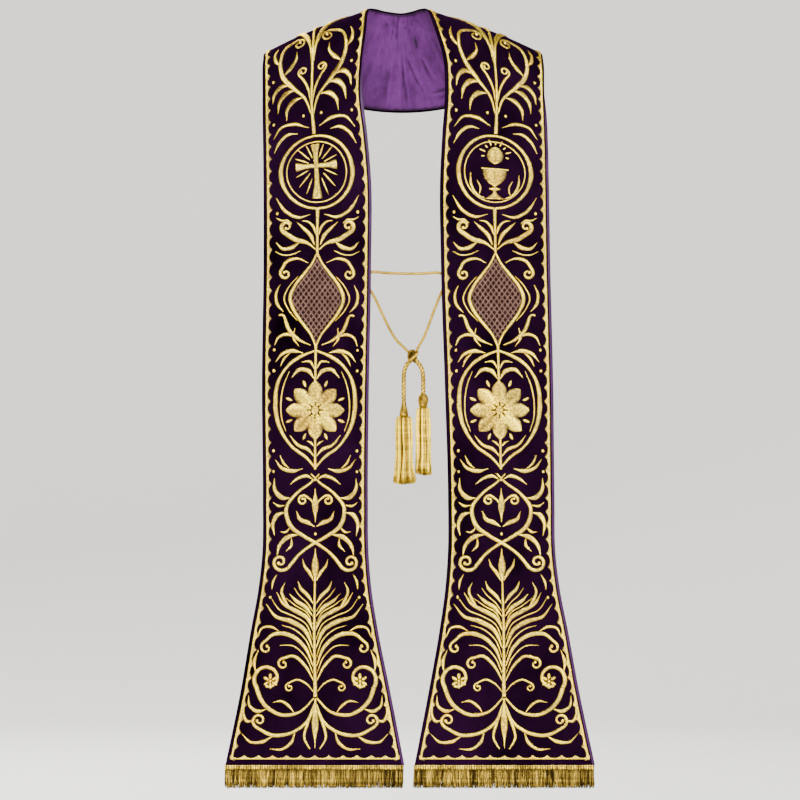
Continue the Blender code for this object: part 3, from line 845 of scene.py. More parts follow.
# A sheet of cloth as a closed wall with rounded edges. Rows run from the centre back to the hem and columns
# across; margins give how far it stays inside the neck edge and the shoulder edge, top and wall are depths
# below the velvet's surface, and ridges move the wall further from it.
def clothWall(name, label, top, wall, margins, neckStep=4.0, columns=30, ridges=()):
    edge, band = np.array(cloth["edgeSteps"]), cloth["edgeBand"]
    neck = np.arange(edge[-1] + 2, cloth["neckTo"], neckStep)
    panel = np.linspace(cloth["neckTo"] + 4, hemPlace - band, cloth["frontRows"])
    s = np.concatenate([edge, neck, panel, hemPlace - edge[::-1]])
    width = widthAt(s)[:, None]
    low, high = margins[0](s)[:, None], width - margins[1](s)[:, None]
    middle = low + band + (high - low - 2 * band) * np.linspace(0, 1, columns)
    across = np.hstack([low + edge, middle, high - edge[::-1]])
    sideways = np.minimum(across - low, high - across)
    lengthways = np.minimum(s + wall / 4, hemPlace - s)[:, None]
    turned = edgeRound(np.minimum(sideways, lengthways), wall / 2)
    places = np.broadcast_to(s[:, None], across.shape)
    u = across / width
    pushed = ridgePush(places, u, *ridges) if ridges else np.zeros_like(across)
    most = cloth["mostSunk"]
    moved = np.maximum(pushed, 0) - most * (1 - np.exp(np.minimum(pushed, 0) / most))
    front = onCloth(label, places, u, -(top + turned + moved))
    back = onCloth(label, places, u, -(top + wall - turned + moved))
    before = gridNumbers(*across.shape)
    behind = before.copy()
    behind[1:-1, 1:-1] = before.size + gridNumbers(len(s) - 2, across.shape[1] - 2)
    sheets = [gridFaces(before), gridFaces(behind)]
    wrong = 0 if sides[label] > 0 else 1
    sheets[wrong] = sheets[wrong][:, ::-1]
    # The rise attribute paints shade at the rim and in sunk creases, and a highlight on raised ridges.
    paintedRidgeShading = np.clip(cloth["ridgePaintedShading"] * pushed, *cloth["ridgePaintedShadingRange"])
    rise = cloth["rimPaintedShade"] + (1 - cloth["rimPaintedShade"]) * np.clip(sideways / cloth["rim"], 0, 1) + paintedRidgeShading
    uv = together(places * mm, across * mm)
    points, uv, rise = (np.concatenate([whole.reshape(before.size, -1), inner[1:-1, 1:-1].reshape(-1, size)])
                        for whole, inner, size in ((front, back, 3), (uv, uv, 2), (rise, rise, 1)))
    return meshObject(name, points, *sheets, uv=uv, rise=rise)


# Soft ridges of the lining, raised towards the wearer, or sunk where the rise is below 0. Each holds its
# start and end along the cloth, its start and end as fractions across, its rise and its spread, with lengths
# in millimetres. acrossRidges run across the cloth and longRidges down it. Each also paints a highlight on
# its ridge or shade in its crease, through the lining's rise attribute.
acrossRidges = {
    "left": {
        "seamRoll": (2.4, 2.2, -0.3, 1.3, 0.9, 1.4), "shade": (7.0, 22.0, 0.50, 0.80, -0.7, 4.0),
        "leaning": (12.3, 15.0, 0.40, 0.98, 1.2, 2.2), "leaningCrease": (16.5, 20.0, 0.55, 0.98, -0.8, 2.2),
        "topPucker": (8.4, 8.7, 0.02, 0.19, -1.9, 1.7), "topPuckerSide": (9.6, 9.2, 0.17, 0.27, -1.8, 1.8),
        "topPuckerFar": (18.2, 18.4, 0.16, 0.28, -1.9, 1.8), "topLight": (13.5, 14.0, 0.05, 0.30, 0.9, 1.8),
        "wide": (33.0, 38.0, 0.25, 0.85, 1.0, 4.2), "wideCrease": (40.0, 46.0, 0.38, 0.90, -0.8, 2.2),
        "farFold": (52.0, 50.0, 0.15, 0.75, 0.8, 3.4), "topShade": (22.0, 22.0, -0.20, 0.42, -0.35, 30.0),
        "underArm": (260.0, 340.0, 0.20, 0.65, 1.0, 8.0), "underArmLow": (300.0, 360.0, 0.30, 0.80, 0.8, 7.0),
    },
    "right": {
        "seamRoll": (2.0, 2.2, -0.3, 0.6, 0.5, 1.5), "seamCrease": (0.6, 5.0, 0.46, 0.95, -2.6, 1.6),
        "seamFold": (3.6, 8.6, 0.46, 0.97, 1.5, 1.5), "innerCrease": (8.4, 23.0, 0.44, 0.80, -2.2, 1.7),
        "innerFold": (11.5, 27.0, 0.44, 0.84, 1.3, 1.5), "outerFold": (33.0, 41.5, 0.44, 0.72, 2.0, 1.6),
        "outerCrease": (29.5, 37.5, 0.46, 0.74, -1.7, 1.7),
        "topPuckerSide": (25.0, 27.0, 0.06, 0.22, 0.9, 2.2),
        "shadedDent": (30.5, 27.5, 0.24, 0.38, -2.0, 3.2), "cornerLow": (46.0, 50.0, 0.62, 0.84, 0.9, 3.0),
        "farFold": (60.0, 56.0, 0.18, 0.70, 1.0, 3.4), "farCrease": (64.0, 62.0, 0.24, 0.76, -0.9, 2.6),
        "topShade": (22.0, 22.0, -0.20, 0.42, -0.50, 30.0),
        "underArm": (250.0, 330.0, 0.30, 0.75, 1.0, 8.0), "underArmLow": (330.0, 380.0, 0.20, 0.70, 0.8, 7.0),
    },
}
longRidges = {
    "left": {
        "topWrinkle": (26.0, 40.0, 0.14, 0.12, -1.0, 1.8), "upper": (420.0, 660.0, 0.35, 0.42, 0.9, 7.0),
        "middle": (600.0, 830.0, 0.62, 0.58, 0.8, 8.0), "low": (850.0, 1010.0, 0.60, 0.66, 0.9, 7.0),
        "lowSide": (960.0, 1180.0, 0.28, 0.24, 0.8, 9.0),
        "upperCrease": (450.0, 690.0, 0.29, 0.37, -1.1, 3.4),
        "middleCrease": (620.0, 790.0, 0.68, 0.64, -0.9, 3.0),
        "lowCrease": (880.0, 1060.0, 0.54, 0.60, -1.1, 3.4),
        "edgeCrease": (300.0, 520.0, 0.80, 0.74, -0.9, 3.4),
    },
    "right": {
        "topWrinkle": (7.0, 17.0, 0.150, 0.135, -2.4, 1.7),
        "cornerWrinkle": (31.0, 57.0, 0.83, 0.80, -2.4, 2.2),
        "cornerFold": (28.0, 58.0, 0.855, 0.825, 1.2, 1.8),
        "cornerWrinkleLow": (36.0, 54.0, 0.885, 0.870, -2.0, 2.0),
        "upper": (460.0, 700.0, 0.58, 0.48, 0.9, 7.0),
        "middle": (640.0, 860.0, 0.36, 0.42, 0.8, 8.0), "low": (880.0, 1040.0, 0.40, 0.35, 0.9, 7.0),
        "lowSide": (980.0, 1190.0, 0.70, 0.76, 0.8, 9.0),
        "upperCrease": (480.0, 720.0, 0.64, 0.54, -1.1, 3.4),
        "middleCrease": (700.0, 880.0, 0.30, 0.37, -0.9, 3.0),
        "lowCrease": (900.0, 1090.0, 0.46, 0.40, -1.1, 3.4),
        "edgeCrease": (340.0, 540.0, 0.22, 0.29, -0.9, 3.4),
    },
}


# One ridge: a bell of the distance from its line, faded in and out over t from 0 to 1 along it.
def ridgeBell(t, distance, rise, spread):
    return rise * np.exp(-((distance / spread) ** 2)) * np.sin(np.pi * np.clip(t, 0, 1)) ** 0.7


# Each ridge is added to the close fine puckers, slow waves across the neck part.
def ridgePush(s, u, acrossRows, longRows):
    puckers = 0.16 * np.sin(s * 1.15 + 3.0 * np.sin(u * 4 + s / 23))
    total = puckers * np.clip(1 - s / 110, 0, 1) * (1 - 0.4 * u)
    width = widthAt(s)
    for start, end, low, high, rise, spread in acrossRows.values():
        t = (u - low) / (high - low)
        total = total + ridgeBell(t, s - (start + (end - start) * t), rise, spread)
    for start, end, low, high, rise, spread in longRows.values():
        t = (s - start) / (end - start)
        total = total + ridgeBell(t, (u - (low + (high - low) * t)) * width, rise, spread)
    return total


# How far a sheet stays inside an edge. The lining's margin changes where it rolls out past the velvet, and
# the velvet draws back a little there. Behind the neck the velvet shows wider past the lining's outer edge.
def edgeMargin(amount):
    return lambda s: np.full_like(s, amount)


def rolledMargin(s):
    return cloth["liningInset"] - (cloth["liningInset"] + cloth["liningRoll"]) * rollShare(s)


def shownBack(margin):
    return lambda s: margin(s) + cloth["shownBack"] * np.clip(1 - s / cloth["shownTo"], 0, 1)


def drawnMargin(s):
    return cloth["drawnBack"] * np.clip(rollShare(s), 0, 1)


# The right-hand edge is the right half's shoulder edge and the left half's neck edge.
faces, linings = {}, {}
for label, side in sides.items():
    margins = [edgeMargin(0.0), drawnMargin][::int(side)]
    inner, outer = [edgeMargin(cloth["liningInset"]), rolledMargin][::int(side)]
    faces[label] = clothWall("velvetFace" + label, label, 0.0, cloth["faceWall"], margins)
    margins = inner, shownBack(outer)
    depth, ridges = cloth["faceWall"] + cloth["gap"], (acrossRidges[label], longRidges[label])
    linings[label] = clothWall("satinLining" + label, label, depth, cloth["liningWall"], margins,
                               neckStep=0.9, columns=76, ridges=ridges)
    finishPiece(faces[label], "velvet", "velvet", "face_" + label)
    finishPiece(linings[label], "satin", "satin", "lining_" + label)
print("velvet and lining made")


# The loops on the lining that the tie cord runs through. feet holds how deep the right and the left foot
# stand.
cordLoops = {
    "wall": 0.0012, "crown": 0.0003, "footOut": 0.0008, "footSink": 0.0005, "spacing": 0.0005, "steps": 16,
    "feet": {"left": (-0.0908, -0.0917), "right": (-0.0917, -0.0908)},
}


# A band of doubled satin bent round the cord: a flat oval section carried along a half circle with straight
# sides, whose feet turn out on the lining.
def cordLoop(label, use):
    low, high = np.array(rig.box("cord_loop_" + label))
    middle, half = (low + high) / 2, (high - low) / 2
    reach = half[0] - use["wall"] / 2
    turn = np.linspace(0, np.pi, 15)
    depth = high[1] - half[0]
    right, left = use["feet"][label]
    straight, out = 2 * use["wall"], reach + use["footOut"]
    outline = np.vstack([
        (out, right - use["footSink"]), (reach, right + straight),
        np.column_stack([reach * np.cos(turn), depth + reach * np.sin(turn)]),
        (-reach, left + straight), (-out, left - use["footSink"])])
    path = evenPoints(together(middle[0] + outline[:, 0], outline[:, 1], middle[2]), use["spacing"])
    side = np.cross((0.0, 0.0, 1.0), unit(np.gradient(path, axis=0)))
    around = fullTurn(use["steps"])
    thick = np.cos(around) * (use["wall"] / 2 + use["crown"] * np.abs(np.cos(around)))
    points = path[:, None] + side[:, None] * thick[:, None]
    points[..., 2] += half[2] * np.sin(around)
    uv = together(runLength(path)[:, None], half[2] * around)
    # Painted shade on the band's top and bottom edges, through the rise attribute.
    rise = np.broadcast_to(0.8 + 0.2 * np.cos(2 * around), points.shape[:2])
    made = meshObject("cordLoop" + label, points, *tubeFaces([len(path)], use["steps"]), uv=uv, rise=rise)
    return finishPiece(made, "satin", "satin", "cord_loop_" + label)


for label in sides:
    cordLoop(label, cordLoops)
print("cord loops made")


# The hem's line in the middle of the cloth's thickness.
def hemLine(label, across):
    depth = (cloth["faceWall"] + cloth["gap"] + cloth["liningWall"]) / 2
    return onCloth(label, np.full_like(across, hemPlace), across, np.full_like(across, -depth))


# The layer tones, back tone and part shade below are painted shade on the skirt's threads, with painted light on the
# back of the layer behind.
fringe = {
    "headingTop": -0.0006, "headingHeight": 0.0082, "headingWall": 0.0024, "rib": 0.0034, "loopDrop": 0.0012,
    "headingColumns": 640, "groove": (0.5, 0.30, 0.07),
    "skirtStart": 0.0058, "threadLength": 0.0268, "threadRadius": 0.00066, "threads": 960, "bunches": 74,
    "layerDepth": (-0.0013, -0.0005, 0.0006), "layerShadedTone": (0.56, 0.42, 0.05), "backPaintedLight": 0.55,
    "bunchLean": 0.0011, "threadLean": 0.0009, "partLean": 0.0017, "partWidth": 0.006, "partShade": 0.55,
    "darkPlaces": {"left": (0.03, 0.05, 0.075, 0.10, 0.52, 0.645, 0.70, 0.86, 0.95),
                   "right": (0.04, 0.13, 0.16, 0.31, 0.33, 0.56, 0.74, 0.77, 0.97)},
}


# The heading: a band of upright ribs whose tops are small loops, with a groove where the row of loops ends.
# Its section goes down the front and up the back.
def fringeHeading(label, use):
    hem = hemLine(label, np.linspace(-0.004, 1.004, use["headingColumns"]))
    t = np.linspace(0, 1, 10)[:, None]
    run = runLength(hem)
    rib = np.abs(np.sin(np.pi * run / use["rib"] + 0.5 * np.sin(run * 90)))
    depth, place, spread = use["groove"]
    groove = 1 - depth * np.exp(-(((t - place) / spread) ** 2))
    rounded = np.sin(np.pi * np.clip(t * 2.2 + 0.12, 0, 0.5)) ** 0.5
    rise = (0.22 + 0.78 * rib) * groove * rounded
    swell = use["headingWall"] / 2 * (0.25 + 0.75 * rise)
    down = use["headingTop"] + use["loopDrop"] * 0.5 * (1 - rib) * (1 - t) + use["headingHeight"] * t
    front, back = (together(hem[:, 0], hem[:, 1] + way * swell, hem[:, 2] - down) for way in (-1, 1))
    tone = 0.90 + 0.28 * np.sin(run * 37 + 2 * np.sin(run * 11)) * np.sin(run * 71)
    # The rise attribute holds painted shade between the ribs, in the groove and on the rounded top, fading makes it
    # darker towards the foot, and tone varies it along the band.
    fading = 1.05 - 0.55 * t
    rise = np.concatenate([rise * fading, (rise * fading)[::-1]]) * tone
    numbers = gridNumbers(*rise.shape)
    parts = gridFaces(np.vstack([numbers, numbers[:1]])), np.stack([numbers[:, 0], numbers[::-1, -1]])
    if sides[label] > 0:
        parts = [part[:, ::-1] for part in parts]
    made = meshObject("fringeHeading" + label, np.concatenate([front, back[::-1]]), *parts,
                      uv=together(run, np.concatenate([t, t[::-1]]) * 0.008), rise=np.clip(rise, 0, 1))
    return finishPiece(made, "goldHeading", "gold_thread", "fringe_heading_" + label)


# The skirt's threads hang in three layers. Bunches of them lean together and share a tone, the layer behind
# has painted shade except on its back, which has painted light, and at the dark places the front threads part
# and have painted shade. Each thread also has painted shade just under the heading.
def fringeSkirt(label, use, seed):
    rng = np.random.default_rng(seed)
    count, bunches = use["threads"], use["bunches"]
    start = np.linspace(0, 1, count) + rng.normal(0, 0.0006, count)
    layer = np.arange(count) % 3
    bunch = np.clip((start + 0.004 * np.sin(start * 260)) * bunches, 0, bunches - 1).astype(int)
    lean = rng.normal(0, use["bunchLean"], bunches)[bunch] + rng.normal(0, use["threadLean"], count)
    parted = start[:, None] - np.array(use["darkPlaces"][label])
    shadow = np.exp(-(parted / use["partWidth"]) ** 2)
    lean += use["partLean"] * (np.sign(parted) * shadow).sum(axis=1)
    lean *= layer < 2
    hem = hemLine(label, np.clip(start, 0, 1) * 1.004 - 0.002)
    t = np.linspace(0, 1, 6)
    depth = np.array(use["layerDepth"])[layer, None]
    length = use["threadLength"] * (1 - rng.uniform(0, 0.05, (count, 1)))
    curl = rng.normal(0, 0.0004, (count, 1)) * np.sin(t * rng.uniform(3, 8, (count, 1)))
    drop = use["headingTop"] + use["skirtStart"] + 0.0012 * rng.uniform(0, 1, (count, 1))
    paths = np.stack([
        hem[:, :1] + lean[:, None] * t**1.3 + curl,
        hem[:, 1:2] + depth * (1 - 0.2 * t) + curl[::-1],
        hem[:, 2:] - drop - length * t], axis=-1)
    # Painted shade: the layer behind is dark except on its back, and the threads at the dark places are darker.
    tone = np.array(use["layerShadedTone"])[layer] + rng.normal(0, 0.13, bunches)[bunch]
    tone = tone + rng.normal(0, 0.22, count)
    tone = np.clip(tone - use["partShade"] * shadow.max(axis=1), 0, 1)[:, None, None]
    tone = tone + use["backPaintedLight"] * (layer > 1)[:, None, None] * np.array((0, 0, 0, 1))
    # Painted shade just under the heading, and a little darker towards the foot.
    made = threads("fringeSkirt" + label, paths, rng.uniform(0.8, 1.2, count) * use["threadRadius"],
                   tone * (1.08 - 0.28 * np.exp(-t * 8) - 0.15 * t)[:, None])
    return finishPiece(made, "goldFringe", "gold_thread", "fringe_skirt_" + label)


hemTrims = {}
for seed, label in enumerate(sides):
    hemTrims[label] = [fringeHeading(label, fringe), fringeSkirt(label, fringe, seed + 11)]
print("fringes made")


# The flat cut of each half, worked out by unrolling it: width and length of its outline, and its area.
flatCut = {"width": 0.251, "length": 1.274, "area": 0.200}
for label in sides:
    size = (flatCut["width"], flatCut["length"])
    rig.sheet(faces[label], flat=size, held="hung", area=flatCut["area"], with_pieces=hemTrims[label])
    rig.sheet(linings[label], flat=size, held="hung", area=flatCut["area"], rests_on=[faces[label]])


# The embroidery is drawn on a flat chart in millimetres: b is the distance right of the panel's axis and a
# the distance down from the shoulder crest. This puts chart points on the velvet, lifted by lift millimetres.
def onChart(label, b, a, lift):
    s = np.clip(crestPlace + a, 0.5, hemPlace)
    return onCloth(label, s, 0.5 + sides[label] * b / widthAt(s), lift)


# One run of satin stitch. points are on the chart, widths are spread evenly along it, curl is the radius
# where a final curl starts, the radius where it ends and its turns, bulb is a knob on the end, raised lifts
# it over what it crosses, and mirrored works it on both sides of the axis.
def stroke(points, widths, curl=None, bulb=0.0, raised=0.0, mirrored=True):
    return {"points": points, "widths": widths, "curl": curl, "bulb": bulb, "raised": raised,
            "mirrored": mirrored}


# A straight run from the middle of a flower, star or cross, at so many degrees from straight up.
def spoke(middle, degrees, start, end, widths, raised=0.0, mirrored=False):
    way = np.array([math.sin(math.radians(degrees)), -math.cos(math.radians(degrees))])
    points = np.array(middle) + way * np.linspace(start, end, 5)[:, None]
    return stroke(points, widths, raised=raised, mirrored=mirrored)


# Evenly spaced petals round a middle, each as wide as widths says along it.
def petals(name, middle, count, start, end, widths, turn=0.0, mirrored=False):
    return {name + str(k): spoke(middle, turn + 360 / count * k, start, end, widths, mirrored=mirrored)
            for k in range(count)}


# A round knob of thread, as a run whose width follows a circle.
def knob(middle, size, raised=0.4, mirrored=False):
    t = np.linspace(-1, 1, 9)
    points = np.column_stack([np.full(9, middle[0]), middle[1] + t * size / 2])
    return stroke(points, tuple(size * np.sqrt(np.maximum(1 - t**2, 0.03))), raised=raised, mirrored=mirrored)


# The right-hand half of a ring, from its top to its bottom.
def ringPoints(middle, radius, steps=13):
    turn = np.linspace(0, np.pi, steps)
    return np.column_stack([middle[0] + radius * np.sin(turn), middle[1] - radius * np.cos(turn)])


budWidths, rayWidths = (1.0, 4.8, 0.8), (1.0, 3.2, 2.6, 0.8)
petalWidths = np.array((0.35, 0.62, 0.84, 0.96, 1.0, 0.97, 0.84, 0.58, 0.2))

shoulderMotif = {
    "stem": stroke(((0, 180), (0, 120), (0, 62), (0, 8)), (6.4, 4.8, 4.4, 5.6, 3.8), mirrored=False),
    "volute": stroke(((1.5, 152), (9, 128), (27, 106), (44, 82), (50, 54), (42, 29), (28, 23)),
                     (2.6, 5.0, 8.2, 6.6, 4.8, 3.8, 3.0), curl=(11, 3.8, -1.15), bulb=6),
    "longLeaf": stroke(((1.5, 72), (4, 46), (12, 20), (27, -2), (44, -14), (56, -34)),
                       (2.6, 4.4, 8.0, 8.4, 4.5, 0.8)),
    "innerLeaf": stroke(((7, 30), (18, 6), (30, -22), (34, -48)), (1.6, 5.2, 6.2, 0.8)),
    "budHeart": stroke(((0, 12), (0, -18), (0, -50), (0, -74)), (4.5, 10, 11, 0.8), mirrored=False),
    "budSide": stroke(((1.5, 4), (7, -18), (10, -38), (20, -58)), (2.0, 6.0, 6.5, 0.8), curl=(7, 3, 0.5)),
    "upperLobe": stroke(((33, 100), (46, 98), (55, 107), (58, 122)), (1.6, 8.2, 6.0, 0.8)),
    "middleLobe": stroke(((23, 110), (37, 111), (47, 122), (50, 139)), (1.6, 8.8, 6.4, 0.8)),
    "lowerLobe": stroke(((12, 124), (26, 126), (36, 137), (38, 153)), (1.6, 8.2, 6.0, 0.8)),
    "insideLobe": stroke(((44, 82), (33, 72), (25, 60), (25, 46)), (1.6, 7.4, 5.2, 0.8)),
    "outsideLobe": stroke(((49, 62), (57, 52), (60, 38), (57, 24)), (1.6, 6.6, 5.0, 0.8)),
    "innerCurl": stroke(((1.5, 134), (5, 114), (12, 98), (19, 88)), (2.0, 4.6, 4.4, 3.0),
                        curl=(7.5, 2.8, -1.1), bulb=4.6),
    "berry": knob((58, 86), 5.2, mirrored=True),
    "berryBelow": knob((13, 152), 5.0, mirrored=True),
}

roundel = {"middle": (0, 234), "radius": 51.0, "innerRadius": 42.5}
roundelMotif = {
    "ring": stroke(ringPoints(roundel["middle"], roundel["radius"]), (4.4, 5.6, 7.4, 5.6, 4.4)),
    "innerRing": stroke(ringPoints(roundel["middle"], roundel["innerRadius"]), (2.4, 2.4, 2.4)),
    "upperSprig": stroke(((24, 176), (37, 175), (50, 184), (59, 200)), (1.0, 5.8, 5.4, 0.8)),
    "topSprig": stroke(((8, 170), (28, 161), (47, 163), (59, 178)), (1.0, 6.2, 4.8, 0.8)),
    "paintedShadingSprig": stroke(((10, 293), (27, 297), (44, 289), (59, 268)), (1.0, 5.8, 5.8, 0.8)),
    "lowBerry": knob((57, 291), 5.2, mirrored=True),
    "topBerry": knob((57, 156), 5.0, mirrored=True),
}

cross = {"middle": (0, 225), "up": 30, "across": 29, "down": 46}
crossMotif = {
    "up": spoke(cross["middle"], 0, 0, cross["up"], (7.0, 8.0, 14), 0.3),
    "down": spoke(cross["middle"], 180, 0, cross["down"], (7.0, 8.0, 15), 0.3),
    "across": spoke(cross["middle"], 90, 0, cross["across"], (7.0, 8.0, 14), 0.3, mirrored=True),
    "heart": knob(cross["middle"], 11, 0.6),
}
for degrees, inner, outer in ((23, 12, 32), (45, 12, 36), (67, 12, 32), (117, 12, 33), (139, 14, 39),
                              (159, 19, 42)):
    crossMotif["ray" + str(degrees)] = spoke(cross["middle"], degrees, inner, outer, rayWidths, mirrored=True)

chaliceMotif = {
    "bowl": stroke(((0, 230), (0, 236), (0, 244), (0, 254)), (34, 34, 31, 22, 7), raised=0.3, mirrored=False),
    "rim": stroke(((-19, 230), (0, 230), (19, 230)), (2.6, 3.6, 2.6), raised=1.0, mirrored=False),
    "stem": stroke(((0, 250), (0, 258), (0, 268)), (5.5, 5.5, 5.5), raised=0.3, mirrored=False),
    "knop": stroke(((-7.5, 258), (0, 258), (7.5, 258)), (2.5, 7.5, 2.5), raised=1.2, mirrored=False),
    "foot": stroke(((0, 261), (0, 265), (0, 269), (0, 272)), (5, 8, 18, 30), raised=0.3, mirrored=False),
    "wafer": knob((0, 211), 24, 0.2),
    "sprig": stroke(((12, 272), (25, 266), (33, 252), (34, 236)), (1.2, 5.0, 4.6, 0.8)),
    "sprigLeaf": stroke(((22, 268), (20, 256), (25, 246)), (1.0, 3.6, 0.8)),
}
for degrees in (0, 24, 48, 72, 96):
    chaliceMotif["ray" + str(degrees)] = spoke((0, 211), degrees, 14.5, 24 if degrees % 48 else 20, rayWidths,
                                               mirrored=degrees > 0)

stemMotif = {
    "stem": stroke(((0, 284), (0, 310), (0, 346)), (6.4, 4.6, 5.2), mirrored=False),
    "curl": stroke(((1.5, 343), (14, 333), (31, 328), (47, 318)), (2.4, 8.0, 7.4, 3.8), curl=(9.2, 3.0, -1.0),
                   bulb=5.2),
    "upLeaf": stroke(((4, 336), (10, 322), (20, 312), (29, 304)), (2.0, 6.8, 5.8, 0.8)),
    "topLeaf": stroke(((2, 322), (6, 310), (14, 303), (22, 302)), (1.4, 5.2, 4.0, 0.8)),
    "downLeaf": stroke(((24, 331), (38, 340), (49, 341), (59, 332)), (1.4, 7.2, 5.8, 0.8)),
    "lowLine": stroke(((24, 344), (36, 349), (48, 350), (60, 345)), (1.0, 2.6, 2.4, 0.8)),
    "sideBud": stroke(((59, 297), (51, 301), (43, 301), (36, 306)), (0.8, 3.6, 3.4, 0.8)),
}

lozenge = {
    "outline": ((0, 347), (7, 361), (20, 378), (32, 394), (38, 411), (32, 428), (20, 445), (7, 462),
                (0, 478)),
    "clothInset": 1.0, "clothHeight": 0.5, "netSpacing": 7.6, "netSlope": 1.35, "netWidth": 1.6,
    "netHeight": 0.7, "netRaised": 0.35,
}
lozengeMotif = {
    "edge": stroke(lozenge["outline"], (3.6, 5.4, 6.2, 5.4, 3.6), raised=0.6),
    "upperCurl": stroke(((13, 361), (28, 355), (43, 359), (51, 371)), (1.4, 5.8, 5.6, 3.2),
                        curl=(8.5, 3.0, 1.0), bulb=5.0),
    "sideLeaf": stroke(((47, 430), (56, 419), (58, 405), (53, 392)), (1.2, 5.6, 4.8, 0.8)),
    "lowerCurl": stroke(((8, 476), (25, 468), (39, 454), (45, 438)), (1.6, 6.0, 6.2, 3.8), curl=(7, 3, 0.35)),
    "paintedShadingLeaf": stroke(((30, 465), (43, 461), (53, 465), (59, 477)), (1.4, 5.8, 4.6, 0.8)),
    "tuck": stroke(((30, 452), (32, 466), (24, 478)), budWidths),
    "outerLine": stroke(((27, 380), (40, 395), (46.5, 411), (40, 427), (27, 442)), (1.0, 2.2, 2.8, 2.2, 1.0)),
}

blossom = {"middle": (0, 567), "outer": (11, 41, 22.0), "inner": (6, 22, 11.0), "tips": (35, 45, 5.4)}
blossomMotif = {
    "frame": stroke(((1.5, 484), (15, 489), (35, 501), (51, 523), (56.5, 556), (50, 592), (33, 618),
                     (12, 634), (0, 648)), (4.0, 6.4, 5.0, 6.6, 7.6, 6.6, 5.0, 5.6, 3.6)),
    "stem": stroke(((0, 476), (0, 500), (0, 530)), (5.2, 4.4, 4.6), mirrored=False),
    "sepal": stroke(((1.5, 524), (10, 512), (22, 510), (34, 522)), (1.8, 7.4, 6.6, 0.8)),
    "smallSepal": stroke(((1.2, 510), (8, 499), (20, 500)), (1.6, 4.8, 0.8)),
    "tail": stroke(((0, 602), (0, 622), (0, 650)), (4.0, 4.4, 5.0), mirrored=False),
    "tailLeaf": stroke(((1.5, 632), (10, 622), (24, 616), (36, 602)), (2.0, 6.4, 5.2, 0.8)),
    "tailBud": stroke(((1.5, 618), (7, 612), (12, 610)), (1.2, 4.4, 0.8)),
    "frameLine": stroke(((37, 513), (44, 530), (48.5, 556), (47.5, 578), (41.5, 597)),
                        (1.0, 2.2, 2.6, 2.2, 1.0)),
    "heart": knob(blossom["middle"], 13, 1.0),
}
for name, turn in (("outer", 0.0), ("inner", 22.5), ("tips", 22.5)):
    start, end, size = blossom[name]
    blossomMotif |= petals(name, blossom["middle"], 8, start, end, tuple(size * petalWidths), turn)
for place, top, way in (("upper", 486, 1), ("paintedShading", 650, -1)):
    blossomMotif |= {
        place + "Sprig": stroke(((18, top + 1 * way), (33, top - 2 * way), (47, top + 2 * way),
                                 (57, top + 14 * way)), (1.4, 7.2, 5.8, 0.8)),
        place + "Leaf": stroke(((36, top + 1 * way), (44, top + 8 * way), (50, top + 20 * way)), budWidths),
        place + "Berry": knob((59, top + 26 * way), 5.2, mirrored=True),
        place + "BerryEnd": knob((59, top - 3 * way), 4.6, mirrored=True),
    }

knotMotif = {
    "loop": stroke(((-6, 656), (6, 668), (26, 683), (41, 704), (35, 729), (15, 744), (-6, 756), (-22, 768),
                    (-37, 786)), (2.8, 5.0, 6.2, 7.4, 6.2, 5.4, 6.2, 5.6, 4.2), curl=(14.5, 3.4, 1.3),
                    bulb=6),
    "heartCurl": stroke(((1.5, 708), (5, 694), (12, 688)), (1.8, 5.0, 3.6), curl=(8.0, 2.8, 1.15), bulb=4.6),
    "heart": stroke(((0, 676), (0, 696), (0, 724)), (1.2, 10.5, 1.2), mirrored=False),
    "heartLeaf": stroke(((1.5, 730), (11, 724), (21, 720), (27, 708)), (1.8, 7.6, 6.4, 0.8)),
    "upperLeaf": stroke(((34, 690), (48, 689), (57, 679), (58, 662)), (1.6, 8.2, 6.2, 0.8)),
    "sideLeaf": stroke(((41, 710), (53, 713), (60, 725), (58, 743)), (1.6, 7.8, 6.0, 0.8)),
    "sideBud": stroke(((42, 700), (52, 701), (60, 696)), budWidths),
    "paintedShadingLeaf": stroke(((22, 741), (38, 744), (50, 755), (55, 773)), (1.6, 8.2, 6.4, 0.8)),
    "lowerLobe": stroke(((34, 745), (34, 756), (42, 765)), (1.2, 5.4, 0.8)),
    "lowerBud": stroke(((34, 730), (44, 738), (50, 737)), budWidths),
    "bridge": stroke(((3, 664), (12, 659), (24, 662), (36, 671)), (1.2, 6.4, 5.2, 0.8)),
    "bridgeBerry": knob((0, 664), 5.4, 0.8),
    "heartBerry": knob((0, 740), 5.2),
    "drop": stroke(((0, 760), (0, 780), (0, 812)), (1.2, 11.5, 2.0), mirrored=False),
    "dropLeaf": stroke(((2, 806), (8, 794), (15, 785), (18, 775)), (1.4, 6.4, 5.2, 0.8)),
}

